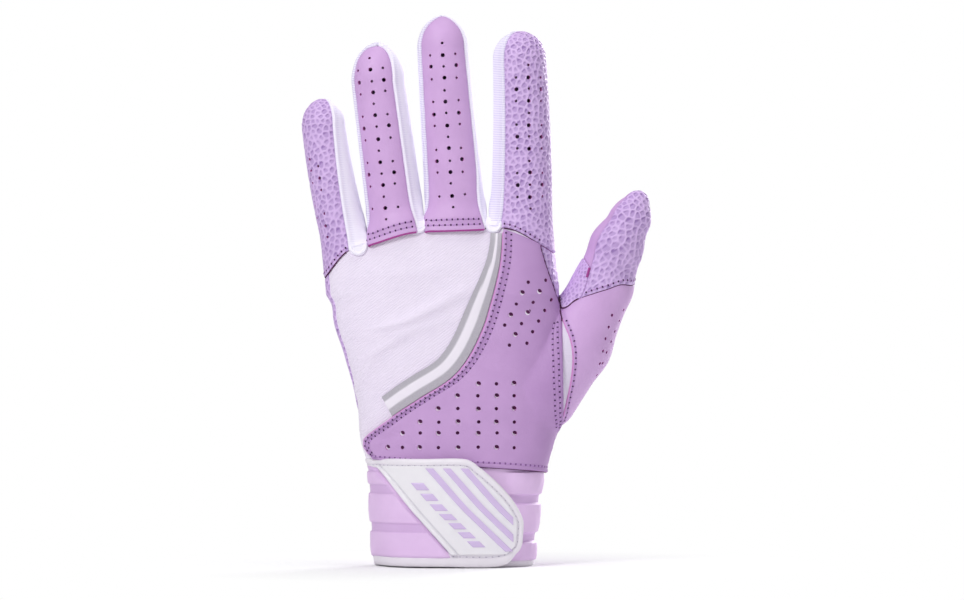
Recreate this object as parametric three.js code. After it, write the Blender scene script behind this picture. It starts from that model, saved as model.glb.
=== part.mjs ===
// Left-hand batting glove, filled out as on a hand and standing on its cuff hem.
// Millimetres. Z runs up to the fingertips, -Y is the back of the hand, +X the thumb side.
import * as THREE from "three";

const { clamp, degToRad, lerp, smoothstep } = THREE.MathUtils;

// Sheet materials and clearances
const LEATHER = 1.2; // palm, finger and thumb leather
const STRETCH = 1.0; // stretch fabric of the back, the gusset and the fourchettes
const OVERLAY = 0.9; // leather sewn over the stretch back
const FILM = 0.3; // transfer band on the stretch back
const SEAM_GAP = 0.4; // between two pieces that meet edge to edge
const LAYER_GAP = 0.3; // between two pieces that lie on one another
const STALL_GAP = 0.6; // between the stalls of two neighbouring fingers
const BACK_SINK = 0.6; // the stretch back lies this deep under the leather's face
const LAP = 1.6; // finger backs over the knuckle edge

// Hand, from the wrist seam (0) to the knuckle line (1) as shares of the palm's length
const CUFF_HEIGHT = 40;
const PALM_LENGTH = 92;
const HAND_LEFT = [[0, -44], [0.13, -47.4], [0.28, -48.4], [0.48, -53], [0.65, -57.6], [0.93, -58.8]];
const HAND_RIGHT = [[0, 27.2], [0.13, 30.2], [0.28, 32], [0.65, 32], [0.93, 30]];
const HAND_DEPTH = [[0, 19.5], [0.3, 18.4], [0.65, 16], [0.93, 14.5]];
const WRIST_SQUARENESS = 2.1;
const KNUCKLE_SQUARENESS = 2.9;
const WEB_RISE = 35; // height over which the hand closes to the webs between the fingers
const WEB_ABOVE_KNUCKLE = 9;
const WEB_DROP = 7; // the web beside the little finger sits lower
const BLEND = 5; // softness where the fingers grow out of the hand

// Finger stalls: centre line, length above the knuckle line, rounded tip and half widths
const FINGERS = {
  pinky: { baseX: -52.8, tipX: -61.2, bow: -0.7, length: 54.8, cap: 10.8, baseHalf: 9.8, tipHalf: 8.7 },
  ring: { baseX: -31.5, tipX: -39.5, bow: 0, length: 77.6, cap: 16, baseHalf: 11.8, tipHalf: 10.9 },
  middle: { baseX: -7.9, tipX: -13.7, bow: 0, length: 88.2, cap: 13.2, baseHalf: 12.4, tipHalf: 10.4 },
  index: { baseX: 17.2, tipX: 16.8, bow: 0.8, length: 81.8, cap: 10.8, baseHalf: 12.6, tipHalf: 10.6 },
};
const STALL_ROOT = 24; // how far a stall's form reaches down into the hand
const STALL_DEPTH = 0.95; // depth of a stall for its width
const TIP_SHARE = 0.62; // share of a stall's surface below its rounded tip
const TIP_POLE = 85; // degrees of the rounded tip that the pieces cover

// Seams round each stall, in degrees from the middle of its back, plus to the thumb side
const PINKY_SEAMS = { base: 3, back: 26, palm: 125 };
const RING_SEAMS = { backLeft: -62, backRight: 32, palmRight: 118, palmLeft: -118 };
const MIDDLE_SEAMS = { backLeft: -57, backRight: 57, palmRight: 122, palmLeft: -122 };
const BASE_CORNER = 46; // the backs start no wider than this at the knuckles
const INDEX_SEAMS = { back: -36, palm: -125 };

// Line where the stalls start: distance across the hand, height over the knuckle line
const BASE_LINE = [[-61, -17], [-51, -6], [-44, -3.8], [-24, 2], [10, 3], [26, -4], [31, -7]];

// Seams between back and palm, in degrees round the hand against the share of the palm's length
const SEAM_LEFT = [[0, -100], [0.2, -100], [0.32, -80], [0.6, -70], [1, -69]];
const SEAM_RIGHT = [[0, 88], [0.13, 89.4], [0.69, 89.4], [0.75, 79], [0.85, 69], [0.96, 62]];
const PALM_STEP = 1.2; // from the back's edge to the palm's edge, in degrees

// Leather overlay: free edge over the stretch back, as distance across and share of the palm's length
const OVERLAY_EDGE = [
  [-42.4, 0.024], [-44.6, 0.13], [-24, 0.283], [-8, 0.402], [2, 0.587], [9, 0.848], [10.6, 1.028],
];
const OVERLAY_FOOT = -0.002; // share of the palm's length at which its right-hand edge ends
const BAND_OFFSET = 1.2; // from the overlay's edge to the transfer band
const BAND_WIDTH = 8.6;
const BAND_TAPER = 0.5; // share of its width that the band loses towards the knuckles
const BAND_SPAN = [0.2, 0.97]; // shares of the overlay's edge between which the band runs

// Thumb: spheres from the heel of the hand to the tip (centre, height above the wrist seam, radius)
const THUMB = [
  { x: 24, y: 2, up: 30, r: 17 },
  { x: 38.5, y: 4, up: 49, r: 15 },
  { x: 50.5, y: 6, up: 72, r: 11.7 },
  { x: 55.6, y: 5, up: 88, r: 10.7 },
  { x: 61.2, y: 4, up: 99.5, r: 8.2 },
  { x: 64.2, y: 3.5, up: 105.6, r: 4.6 },
];
const THUMB_SOFTNESS = 3;
const THUMB_BLEND = 1.5; // softness where the thumb grows out of the hand
const THUMB_SEAM_X = 33;
const THUMB_OPEN = [15, 61]; // heights of the thumb opening above the wrist seam
const THUMB_START = THUMB_SEAM_X + SEAM_GAP;
const THUMB_INNER = [[THUMB_START, 65], [35.5, 70], [43, 85], [53, 102]]; // inner edge, crotch to tip
const THUMB_OUTER = [[THUMB_START, 13], [45, 31], [60, 61], [69, 98]]; // outer edge, heel to tip
const THUMB_SEAMS = { crotch: -118, foot: -38, inner: -57, outer: 92 };
const THUMB_TIP_SHARE = 0.72; // share of the thumb's surface below its rounded end
const THUMB_CROTCH_END = 0.46; // share of the thumb's length that the crotch strip reaches
const THUMB_INNER_BEND = 0.55; // share at which the inner seam has swung from its foot to the thumb's edge
// Lower edge of the crotch strip and the pebbled tip: degrees round the thumb, share of its length
const THUMB_TIP_SEAM = [
  [-118, 0.02], [-78, 0.06], [-58, 0.2], [-38, 0.338], [0, 0.452], [40, 0.523], [92, 0.553],
];
const GUSSET = { from: -78, to: 70, edge: 0.02, bulge: 0.13 };

// Cuff: inner half width and half depth at the hem and at the wrist seam, padded and quilted in ribs
const CUFF_HALF = { hem: 28.5, top: 31.5 };
const CUFF_DEPTH = { hem: 16.5, top: 17.2 };
const CUFF_CENTRE = { hem: -9.3, top: -8.2 };
const PAD = 2.6;
const RIB_RISE = 1.4;
const RIB_GROOVES = [0.06, 0.4, 0.78, 0.995]; // shares of the cuff's height
const RIB_DROP = 4.2; // the ribs lie this much lower on the thumb side
const GROOVE_WIDTH = 2.2;
const LINING = 0.6;
const HEM = 2.8;
const HEM_PROUD = 0.8;
const CUFF_END = -24; // degrees round the wrist of the band's free end
const FLAP_ROOT = -90; // degrees round the wrist of the flap's sewn edge
const RIB_FADE = [56, 70]; // degrees over which the band flattens to lie under the flap

// Closure flap, its moulded tab and its hook-and-loop patches
const FLAP_BOTTOM = 1.2;
const FLAP_TOP = CUFF_HEIGHT - 0.5;
const FLAP_RIGHT = [
  [FLAP_BOTTOM, 9], [3.2, 14.6], [8, 18], [16, 18.6], [22, 16.4], [FLAP_TOP - 1.9, -0.8], [FLAP_TOP, -5],
];
const FLAP_EDGE = [-84, -60, -40, -20, -5]; // degrees round the wrist of points on its level edges
const FLAP_RAMP = [-76, -29]; // degrees over which the flap climbs on to the band
const BINDING = 2.4;
const BINDING_PROUD = 0.4;
const HOOK = 0.9;
const LOOP = 0.9;
const PATCH = { left: -16, right: 6, bottom: 7, top: 24 };
const TAB = 1.4;
const TAB_LEFT = [[FLAP_BOTTOM + 3.6, -11.2], [FLAP_TOP - 3.3, -38.6]];
const TAB_MARGIN = 0.6;
const STRIPE = { rise: 0.5, width: 2.15, starts: [-20.4, -14, -7.8], shortening: [0, 3, 10], margin: 1 };

const COLOURS = {
  smooth: 0xc9a3d6, pebbled: 0xbd9fd3, white: 0xece6f2, fourchette: 0xe9e3f6,
  silver: 0xb9b5be, rubber: 0xe6e2e8, lining: 0xdcd6e2, hook: 0xd9d3de,
};

const KNUCKLE_Z = CUFF_HEIGHT + PALM_LENGTH;
const WEB_TOP = KNUCKLE_Z + WEB_ABOVE_KNUCKLE;
const FLAP_LIFT = PAD + 3 * LAYER_GAP + LOOP + HOOK;

// Smooth curve through [place, value] pairs that never swings past them, level beyond both ends
function profile(pairs) {
  const last = pairs.length - 1;
  const chord = (i) => (pairs[i + 1][1] - pairs[i][1]) / (pairs[i + 1][0] - pairs[i][0]);
  const slope = (i) => {
    const [before, after] = [chord(Math.max(0, i - 1)), chord(Math.min(last - 1, i))];
    return before * after > 0 ? 2 * before * after / (before + after) : 0;
  };
  return (place) => {
    if (place <= pairs[0][0]) return pairs[0][1];
    if (place >= pairs[last][0]) return pairs[last][1];
    let i = 0;
    while (place > pairs[i + 1][0]) i += 1;
    const span = pairs[i + 1][0] - pairs[i][0];
    const t = (place - pairs[i][0]) / span;
    const rise = t * t * (3 - 2 * t);
    const start = t * (1 - t) * (1 - t) * span * slope(i);
    const end = t * t * (t - 1) * span * slope(i + 1);
    return lerp(pairs[i][1], pairs[i + 1][1], rise) + start + end;
  };
}

const handLeft = profile(HAND_LEFT);
const handRight = profile(HAND_RIGHT);
const handDepth = profile(HAND_DEPTH);
const seamLeft = profile(SEAM_LEFT);
const seamRight = profile(SEAM_RIGHT);
const baseLine = profile(BASE_LINE);
const tipSeam = profile(THUMB_TIP_SEAM);
const flapRight = profile(FLAP_RIGHT);
const palmShare = (z) => (z - CUFF_HEIGHT) / PALM_LENGTH;
const baseHeight = (x) => KNUCKLE_Z + baseLine(x);

function smoothMin(a, b, softness) {
  const near = Math.max(softness - Math.abs(a - b), 0) / softness;
  return Math.min(a, b) - near * near * softness / 4;
}

// The hand form: negative inside the glove's outer skin, positive outside
function handField(x, y, z) {
  const share = palmShare(z);
  const half = (handRight(share) - handLeft(share)) / 2;
  const across = Math.abs(x - handLeft(share) - half) / half;
  const depth = handDepth(share);
  const closing = WEB_TOP - WEB_RISE - WEB_DROP * smoothstep(-x, 25, 55);
  const top = Math.max(0, z - closing) / WEB_RISE;
  const power = lerp(WRIST_SQUARENESS, KNUCKLE_SQUARENESS, clamp(share, 0, 1));
  const sum = across ** power + (Math.abs(y) / depth) ** power + top ** power;
  return (sum ** (1 / power) - 1) * depth;
}

const tipCentre = (finger) => KNUCKLE_Z + finger.length - finger.cap;
const stallShare = (finger, z) => clamp((z - KNUCKLE_Z) / (tipCentre(finger) - KNUCKLE_Z), -0.6, 1);
const stallHalf = (finger, z) => lerp(finger.baseHalf, finger.tipHalf, stallShare(finger, z));

function stallCentre(finger, z) {
  const t = stallShare(finger, z);
  return lerp(finger.baseX, finger.tipX, t) + finger.bow * 4 * Math.max(0, t) * (1 - t);
}

function stallField(finger, x, y, z) {
  const half = stallHalf(finger, z);
  const over = Math.max(0, z - tipCentre(finger)) * half / finger.cap;
  const rooted = Math.max(0, KNUCKLE_Z - STALL_ROOT - z);
  return Math.hypot(x - stallCentre(finger, z), y / STALL_DEPTH, over) - half + rooted;
}

function thumbField(x, y, z) {
  let field = Infinity;
  for (let i = 0; i + 1 < THUMB.length; i += 1) {
    const [a, b] = [THUMB[i], THUMB[i + 1]];
    const [dx, dy, dz] = [b.x - a.x, b.y - a.y, b.up - a.up];
    const along = (x - a.x) * dx + (y - a.y) * dy + (z - CUFF_HEIGHT - a.up) * dz;
    const t = clamp(along / (dx * dx + dy * dy + dz * dz), 0, 1);
    const reach = Math.hypot(x - a.x - dx * t, y - a.y - dy * t, z - CUFF_HEIGHT - a.up - dz * t);
    field = smoothMin(field, reach - lerp(a.r, b.r, t), THUMB_SOFTNESS);
  }
  return field;
}

// One stall with the hand it grows from, kept on its side of the neighbouring stalls
function stallForm(name) {
  const names = Object.keys(FINGERS);
  const place = names.indexOf(name);
  const finger = FINGERS[name];
  const between = (left, right, z) => (stallCentre(left, z) + stallHalf(left, z)
    + stallCentre(right, z) - stallHalf(right, z)) / 2;
  const [before, after] = [FINGERS[names[place - 1]], FINGERS[names[place + 1]]];
  return (x, y, z) => {
    let field = smoothMin(handField(x, y, z), stallField(finger, x, y, z), BLEND);
    if (before) field = Math.max(field, between(before, finger, z) + STALL_GAP / 2 - x);
    if (after) field = Math.max(field, x - between(finger, after, z) + STALL_GAP / 2);
    return field;
  };
}

const thumbForm = (x, y, z) => Math.max(
  smoothMin(handField(x, y, z), thumbField(x, y, z), THUMB_BLEND), THUMB_SEAM_X + SEAM_GAP / 2 - x);

function handForm(x, y, z) {
  const hand = handField(x, y, z);
  let field = smoothMin(hand, thumbField(x, y, z), THUMB_BLEND);
  for (const finger of Object.values(FINGERS)) {
    field = Math.min(field, smoothMin(hand, stallField(finger, x, y, z), BLEND));
  }
  return Math.max(field, x - THUMB_SEAM_X + SEAM_GAP / 2);
}

// Follows a ray from inside a form to its skin
function skinAt(form, origin, direction) {
  const value = (far) => form(
    origin.x + direction.x * far, origin.y + direction.y * far, origin.z + direction.z * far);
  let [near, far] = [0, 1];
  while (far < 90 && value(far) < 0) [near, far] = [far, far + 1];
  for (let step = 0; step < 24; step += 1) {
    const half = (near + far) / 2;
    if (value(half) < 0) near = half;
    else far = half;
  }
  const point = origin.clone().addScaledVector(direction, far);
  const reach = 0.05;
  const { x, y, z } = point;
  const normal = new THREE.Vector3(
    form(x + reach, y, z) - form(x - reach, y, z),
    form(x, y + reach, z) - form(x, y - reach, z),
    form(x, y, z + reach) - form(x, y, z - reach),
  ).normalize();
  return { point, normal };
}

// Ray to the back (below 90 degrees) or the palm of the hand at one height
function onHand(angle, z) {
  const share = palmShare(z);
  const middle = (handRight(share) + handLeft(share)) / 2;
  const open = smoothstep(z - CUFF_HEIGHT, THUMB_OPEN[0] - 3, THUMB_OPEN[0] + 4)
    * (1 - smoothstep(z - CUFF_HEIGHT, THUMB_OPEN[1] - 4, THUMB_OPEN[1] + 3));
  const turn = Math.sin(degToRad(angle));
  const opening = THUMB_SEAM_X - SEAM_GAP;
  const edge = turn < 0 ? handLeft(share) : lerp(handRight(share), opening, open);
  const x = middle + Math.abs(turn) * (edge - middle);
  const depth = handDepth(share);
  const right = lerp(handRight(share) - depth, opening, open);
  const side = Math.cos(degToRad(angle)) > 0 ? -1 : 1;
  const core = clamp(x, handLeft(share) + depth, side < 0 ? Math.max(x, right) : right);
  const lean = clamp((x - core) / depth, -1, 1);
  const direction = new THREE.Vector3(lean, side * Math.sqrt(1 - lean * lean), 0);
  return skinAt(handForm, new THREE.Vector3(core, 0, z), direction);
}

// Angle round the hand of a place on its back, seen from the front
function backAngle(x, z) {
  const share = palmShare(z);
  const middle = (handRight(share) + handLeft(share)) / 2;
  const edge = x < middle ? handLeft(share) : handRight(share);
  const turn = Math.asin(clamp(Math.abs((x - middle) / (edge - middle)), 0, 1));
  return THREE.MathUtils.radToDeg(x < middle ? -turn : turn);
}

// Height at which a family of rays, one for each height, meets the line where the stalls start
function meetBase(rayAt) {
  let z = KNUCKLE_Z - WEB_ABOVE_KNUCKLE;
  for (let step = 0; step < 8; step += 1) z = (z + baseHeight(rayAt(z).point.x)) / 2;
  return z;
}

// Ray round a stall: rise 0 is its base, TIP_SHARE its tip centre and 1 its pole
function onStall(name, angle, rise, drop = 0) {
  const finger = FINGERS[name];
  const form = stallForm(name);
  const turn = degToRad(angle);
  const ray = (z, tilt) => skinAt(form, new THREE.Vector3(stallCentre(finger, z), 0, z), new THREE.Vector3(
    Math.cos(tilt) * Math.sin(turn), -Math.cos(tilt) * Math.cos(turn), Math.sin(tilt)));
  const base = meetBase((z) => ray(z, 0)) + SEAM_GAP - drop;
  const tilt = degToRad(TIP_POLE) * Math.max(0, (rise - TIP_SHARE) / (1 - TIP_SHARE));
  return ray(lerp(base, tipCentre(finger), Math.min(1, rise / TIP_SHARE)), tilt);
}

const innerEdge = new THREE.SplineCurve(THUMB_INNER.map(([x, up]) => new THREE.Vector2(x, up)));
const outerEdge = new THREE.SplineCurve(THUMB_OUTER.map(([x, up]) => new THREE.Vector2(x, up)));

// Ray round the thumb: rise 0 is its seam with the hand, THUMB_TIP_SHARE its tip centre and 1 its pole
function onThumb(angle, rise) {
  const t = Math.min(1, rise / THUMB_TIP_SHARE);
  const [inner, outer] = [innerEdge.getPoint(t), outerEdge.getPoint(t)];
  const heart = t * THUMB.length - t;
  const below = THUMB[Math.min(THUMB.length - 2, Math.floor(heart))];
  const above = THUMB[Math.min(THUMB.length - 1, Math.floor(heart) + 1)];
  const y = lerp(below.y, above.y, heart - Math.min(THUMB.length - 2, Math.floor(heart)));
  const centre = new THREE.Vector3((inner.x + outer.x) / 2, y, CUFF_HEIGHT + (inner.y + outer.y) / 2);
  const outward = new THREE.Vector3(outer.x - inner.x, 0, outer.y - inner.y).normalize();
  const along = new THREE.Vector3(-outward.z, 0, outward.x);
  const turn = degToRad(angle);
  const tilt = degToRad(TIP_POLE) * Math.max(0, (rise - THUMB_TIP_SHARE) / (1 - THUMB_TIP_SHARE));
  const direction = outward.multiplyScalar(Math.cos(tilt) * Math.sin(turn))
    .addScaledVector(along, Math.sin(tilt));
  direction.y = -Math.cos(tilt) * Math.cos(turn);
  return skinAt(thumbForm, centre, direction);
}

// Place on the cuff: angle round the wrist, height, and distance out from its inner face
function onCuff(angle, z, out) {
  const share = clamp(z / CUFF_HEIGHT, 0, 1);
  const half = lerp(CUFF_HALF.hem, CUFF_HALF.top, share);
  const depth = lerp(CUFF_DEPTH.hem, CUFF_DEPTH.top, share);
  const [sin, cos] = [Math.sin(degToRad(angle)), Math.cos(degToRad(angle))];
  const outward = new THREE.Vector2(sin / half, -cos / depth).normalize();
  const x = lerp(CUFF_CENTRE.hem, CUFF_CENTRE.top, share) + half * sin + outward.x * out;
  return new THREE.Vector3(x, -depth * cos + outward.y * out, z);
}

// Angle round the wrist of a place seen from the back, at a distance out from the cuff's inner face
function wristAngle(x, z, out) {
  const share = clamp(z / CUFF_HEIGHT, 0, 1);
  const half = lerp(CUFF_HALF.hem, CUFF_HALF.top, share);
  const depth = lerp(CUFF_DEPTH.hem, CUFF_DEPTH.top, share);
  const across = x - lerp(CUFF_CENTRE.hem, CUFF_CENTRE.top, share);
  let sin = clamp(across / (half + out), -1, 1);
  for (let i = 0; i < 12; i += 1) {
    const lean = sin / half;
    const outward = lean / Math.hypot(lean, Math.sqrt(1 - sin * sin) / depth);
    sin = clamp((sin + (across - outward * out) / half) / 2, -1, 1);
  }
  return THREE.MathUtils.radToDeg(Math.asin(sin));
}

const ribRise = (z) => RIB_GROOVES.reduce(
  (rise, share) => rise * (1 - Math.exp(-(((z - CUFF_HEIGHT * share) / GROOVE_WIDTH) ** 2))), RIB_RISE);
const flapLift = (angle) => FLAP_LIFT * smoothstep(angle, FLAP_RAMP[0], FLAP_RAMP[1]);
const tabLeft = (z) => lerp(TAB_LEFT[0][1], TAB_LEFT[1][1],
  (z - TAB_LEFT[0][0]) / (TAB_LEFT[1][0] - TAB_LEFT[0][0]));

// Closed solid of one cut piece: a grid of inner and outer points, cut back by half a seam all round
function cutPiece(name, colour, rows, columns, nodeAt, trim = SEAM_GAP / 2) {
  const layers = [[], []];
  for (let i = 0; i <= rows; i += 1) {
    layers.forEach((layer) => layer.push([]));
    for (let j = 0; j <= columns; j += 1) {
      nodeAt(j / columns, i / rows).forEach((point, side) => layers[side][i].push(point));
    }
  }
  const pull = (edge, next) => {
    const reach = edge.distanceTo(next);
    edge.lerp(next, Math.min(trim / reach, 0.4));
  };
  for (const layer of layers) {
    for (const row of layer) {
      pull(row[0], row[1]);
      pull(row[columns], row[columns - 1]);
    }
    for (let j = 0; j <= columns; j += 1) {
      pull(layer[0][j], layer[1][j]);
      pull(layer[rows][j], layer[rows - 1][j]);
    }
  }
  const size = (rows + 1) * (columns + 1);
  const id = (side, i, j) => side * size + i * (columns + 1) + j;
  const index = [];
  const quad = (a, b, c, d) => index.push(a, b, c, a, c, d);
  for (let i = 0; i < rows; i += 1) {
    for (let j = 0; j < columns; j += 1) {
      quad(id(1, i, j), id(1, i, j + 1), id(1, i + 1, j + 1), id(1, i + 1, j));
      quad(id(0, i, j), id(0, i + 1, j), id(0, i + 1, j + 1), id(0, i, j + 1));
    }
    quad(id(0, i, 0), id(1, i, 0), id(1, i + 1, 0), id(0, i + 1, 0));
    quad(id(0, i, columns), id(0, i + 1, columns), id(1, i + 1, columns), id(1, i, columns));
  }
  for (let j = 0; j < columns; j += 1) {
    quad(id(0, 0, j), id(0, 0, j + 1), id(1, 0, j + 1), id(1, 0, j));
    quad(id(0, rows, j), id(1, rows, j), id(1, rows, j + 1), id(0, rows, j + 1));
  }
  const points = layers.flat(2);
  const volume = (sum, k) => sum + (k % 3 ? 0
    : points[index[k]].dot(points[index[k + 1]].clone().cross(points[index[k + 2]])));
  if (index.map((_, k) => k).reduce(volume, 0) < 0) index.reverse();
  const geometry = new THREE.BufferGeometry().setFromPoints(points);
  geometry.setIndex(index);
  geometry.computeVertexNormals();
  const mesh = new THREE.Mesh(geometry, new THREE.MeshStandardMaterial({ color: colour, roughness: 0.7 }));
  mesh.name = name;
  return mesh;
}

// Inner and outer point of a sheet whose outer face lies at a height over the skin
const sheet = ({ point, normal }, thickness, height = 0) => [height - thickness, height].map(
  (level) => point.clone().addScaledVector(normal, level));
const raised = (thickness) => thickness + LAYER_GAP;

function handPieces() {
  const bottom = CUFF_HEIGHT + SEAM_GAP / 2;
  const panel = (from, to, v, u) => {
    const ray = (z) => onHand(lerp(from(palmShare(z)), to(palmShare(z)), u), z);
    return ray(lerp(bottom, meetBase(ray), v));
  };
  const palmFrom = (share) => seamRight(share) + PALM_STEP;
  const palmTo = (share) => 360 + seamLeft(share);
  const edge = new THREE.SplineCurve(
    OVERLAY_EDGE.map(([x, share]) => new THREE.Vector2(x, CUFF_HEIGHT + PALM_LENGTH * share)));
  const overlayFoot = CUFF_HEIGHT + PALM_LENGTH * OVERLAY_FOOT;
  const overlayAt = (u, v) => {
    const start = edge.getPointAt(v);
    const endZ = lerp(overlayFoot, meetBase((z) => onHand(seamRight(palmShare(z)), z)), v);
    const angle = lerp(backAngle(start.x, start.y), seamRight(palmShare(endZ)), u);
    return sheet(onHand(angle, lerp(start.y, endZ, u)), OVERLAY, raised(OVERLAY));
  };
  const bandAt = (u, v) => {
    const along = lerp(BAND_SPAN[0], BAND_SPAN[1], v);
    const [place, way] = [edge.getPointAt(along), edge.getTangentAt(along)];
    const out = BAND_OFFSET + BAND_WIDTH * (1 - BAND_TAPER * smoothstep(v, 0.55, 1)) * u;
    const [x, z] = [place.x - way.y * out, place.y + way.x * out];
    return sheet(onHand(backAngle(x, z), z), FILM, raised(FILM));
  };
  return [
    cutPiece("back_stretch_panel", COLOURS.white, 15, 18,
      (u, v) => sheet(panel(seamLeft, seamRight, v, u), STRETCH, -BACK_SINK)),
    cutPiece("back_leather_overlay", COLOURS.smooth, 18, 13, overlayAt),
    cutPiece("knuckle_trim_band", COLOURS.silver, 14, 3, bandAt),
    cutPiece("palm_panel", COLOURS.pebbled, 15, 18,
      (u, v) => sheet(panel(palmFrom, palmTo, v, u), LEATHER)),
    cutPiece("thumb_gusset", COLOURS.white, 2, 9, (u, v) => {
      const width = GUSSET.edge + GUSSET.bulge * Math.sin(Math.PI * u);
      return sheet(onThumb(lerp(GUSSET.from, GUSSET.to, u), width * v), STRETCH);
    }),
  ];
}

function fingerPieces() {
  const start = (seam, v) => {
    if (typeof seam === "function") return seam(v);
    if (Math.abs(seam) > 90) return seam;
    return lerp(clamp(seam, -BASE_CORNER, BASE_CORNER), seam, smoothstep(v, 0, 0.25));
  };
  const pinkyBack = (v) => lerp(PINKY_SEAMS.base, PINKY_SEAMS.back, Math.min(v / TIP_SHARE, 1));
  const strip = (name, finger, colour, columns, from, to, thickness, height = 0, drop = 0) => cutPiece(
    name, colour, 10, columns,
    (u, v) => sheet(onStall(finger, lerp(start(from, v), start(to, v), u), v, drop), thickness, height));
  const fourFaced = (finger, seams) => [
    strip(`${finger}_back`, finger, COLOURS.smooth, 6, seams.backLeft, seams.backRight,
      LEATHER, raised(LEATHER), LAP),
    strip(`${finger}_fourchette_inner`, finger, COLOURS.fourchette, 4,
      seams.backRight, seams.palmRight, STRETCH),
    strip(`${finger}_palm`, finger, COLOURS.pebbled, 6, seams.palmRight, 360 + seams.palmLeft, LEATHER),
    strip(`${finger}_fourchette_outer`, finger, COLOURS.fourchette, 4,
      seams.palmLeft, seams.backLeft, STRETCH),
  ];
  return [
    strip("pinky_wrap", "pinky", COLOURS.pebbled, 12, PINKY_SEAMS.palm, (v) => 360 + pinkyBack(v), LEATHER),
    strip("pinky_fourchette", "pinky", COLOURS.fourchette, 4, pinkyBack, PINKY_SEAMS.palm, STRETCH),
    ...fourFaced("ring", RING_SEAMS),
    ...fourFaced("middle", MIDDLE_SEAMS),
    strip("index_wrap", "index", COLOURS.pebbled, 12, INDEX_SEAMS.back, 360 + INDEX_SEAMS.palm, LEATHER),
    strip("index_fourchette", "index", COLOURS.fourchette, 4, INDEX_SEAMS.palm, INDEX_SEAMS.back, STRETCH),
  ];
}

function thumbPieces() {
  const { crotch, foot, inner, outer } = THUMB_SEAMS;
  const innerSeam = (rise) => lerp(foot, inner, smoothstep(rise, tipSeam(foot), THUMB_INNER_BEND));
  const gussetWidth = (angle) => {
    const u = clamp((angle - GUSSET.from) / (GUSSET.to - GUSSET.from), 0, 1);
    return angle < GUSSET.to ? GUSSET.edge + GUSSET.bulge * Math.sin(Math.PI * u) : 0;
  };
  const always = (value) => () => value;
  const strip = (name, colour, rows, columns, from, to, start, end) => cutPiece(name, colour, rows, columns,
    (u, v) => {
      const rise = (across) => {
        const angle = lerp(from(0), to(0), across);
        return lerp(start(angle), end(angle), v);
      };
      return sheet(onThumb(lerp(from(rise(0)), to(rise(1)), u), rise(u)), LEATHER);
    });
  return [
    strip("thumb_back", COLOURS.smooth, 6, 17, always(GUSSET.from), always(outer), gussetWidth, tipSeam),
    strip("thumb_tip", COLOURS.pebbled, 8, 13, innerSeam, always(outer), tipSeam, always(1)),
    strip("thumb_crotch_strip", COLOURS.pebbled, 6, 8, always(crotch), innerSeam,
      tipSeam, always(THUMB_CROTCH_END)),
    strip("thumb_inner_strip", COLOURS.smooth, 6, 3, always(crotch), innerSeam,
      always(THUMB_CROTCH_END), always(1)),
    strip("thumb_palm", COLOURS.pebbled, 12, 8, always(outer), always(360 + crotch), always(0), always(1)),
  ];
}

function cuffPieces() {
  const end = 360 + FLAP_ROOT;
  const bandTop = CUFF_HEIGHT - SEAM_GAP / 2;
  const ring = (name, colour, rows, columns, bottom, top, faces) => cutPiece(name, colour, rows, columns,
    (u, v) => {
      const [angle, z] = [lerp(CUFF_END, end, u), lerp(bottom, top, v)];
      return faces(angle, z).map((out) => onCuff(angle, z, out));
    });
  const patchAt = (u, v) => {
    const z = lerp(PATCH.bottom, PATCH.top, v);
    const angle = wristAngle(lerp(PATCH.left, PATCH.right, u), z, FLAP_LIFT);
    return [PAD + LAYER_GAP, PAD + LAYER_GAP + LOOP].map((out) => onCuff(angle, z, out));
  };
  const hem = ring("cuff_hem_binding", COLOURS.white, 1, 30, 0, HEM,
    () => [-LINING - LAYER_GAP - HEM_PROUD, PAD + HEM_PROUD]);
  return [
    ring("cuff_band", COLOURS.smooth, 14, 30, HEM, bandTop,
      (angle, z) => {
        const drop = RIB_DROP * (1 - smoothstep(angle, 180, end));
        return [0, PAD + ribRise(z + drop) * smoothstep(angle, RIB_FADE[0], RIB_FADE[1])];
      }),
    ring("cuff_lining", COLOURS.lining, 1, 30, HEM, bandTop, () => [-LAYER_GAP - LINING, -LAYER_GAP]),
    hem,
    cutPiece("loop_patch", COLOURS.hook, 3, 4, patchAt),
  ];
}

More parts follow.
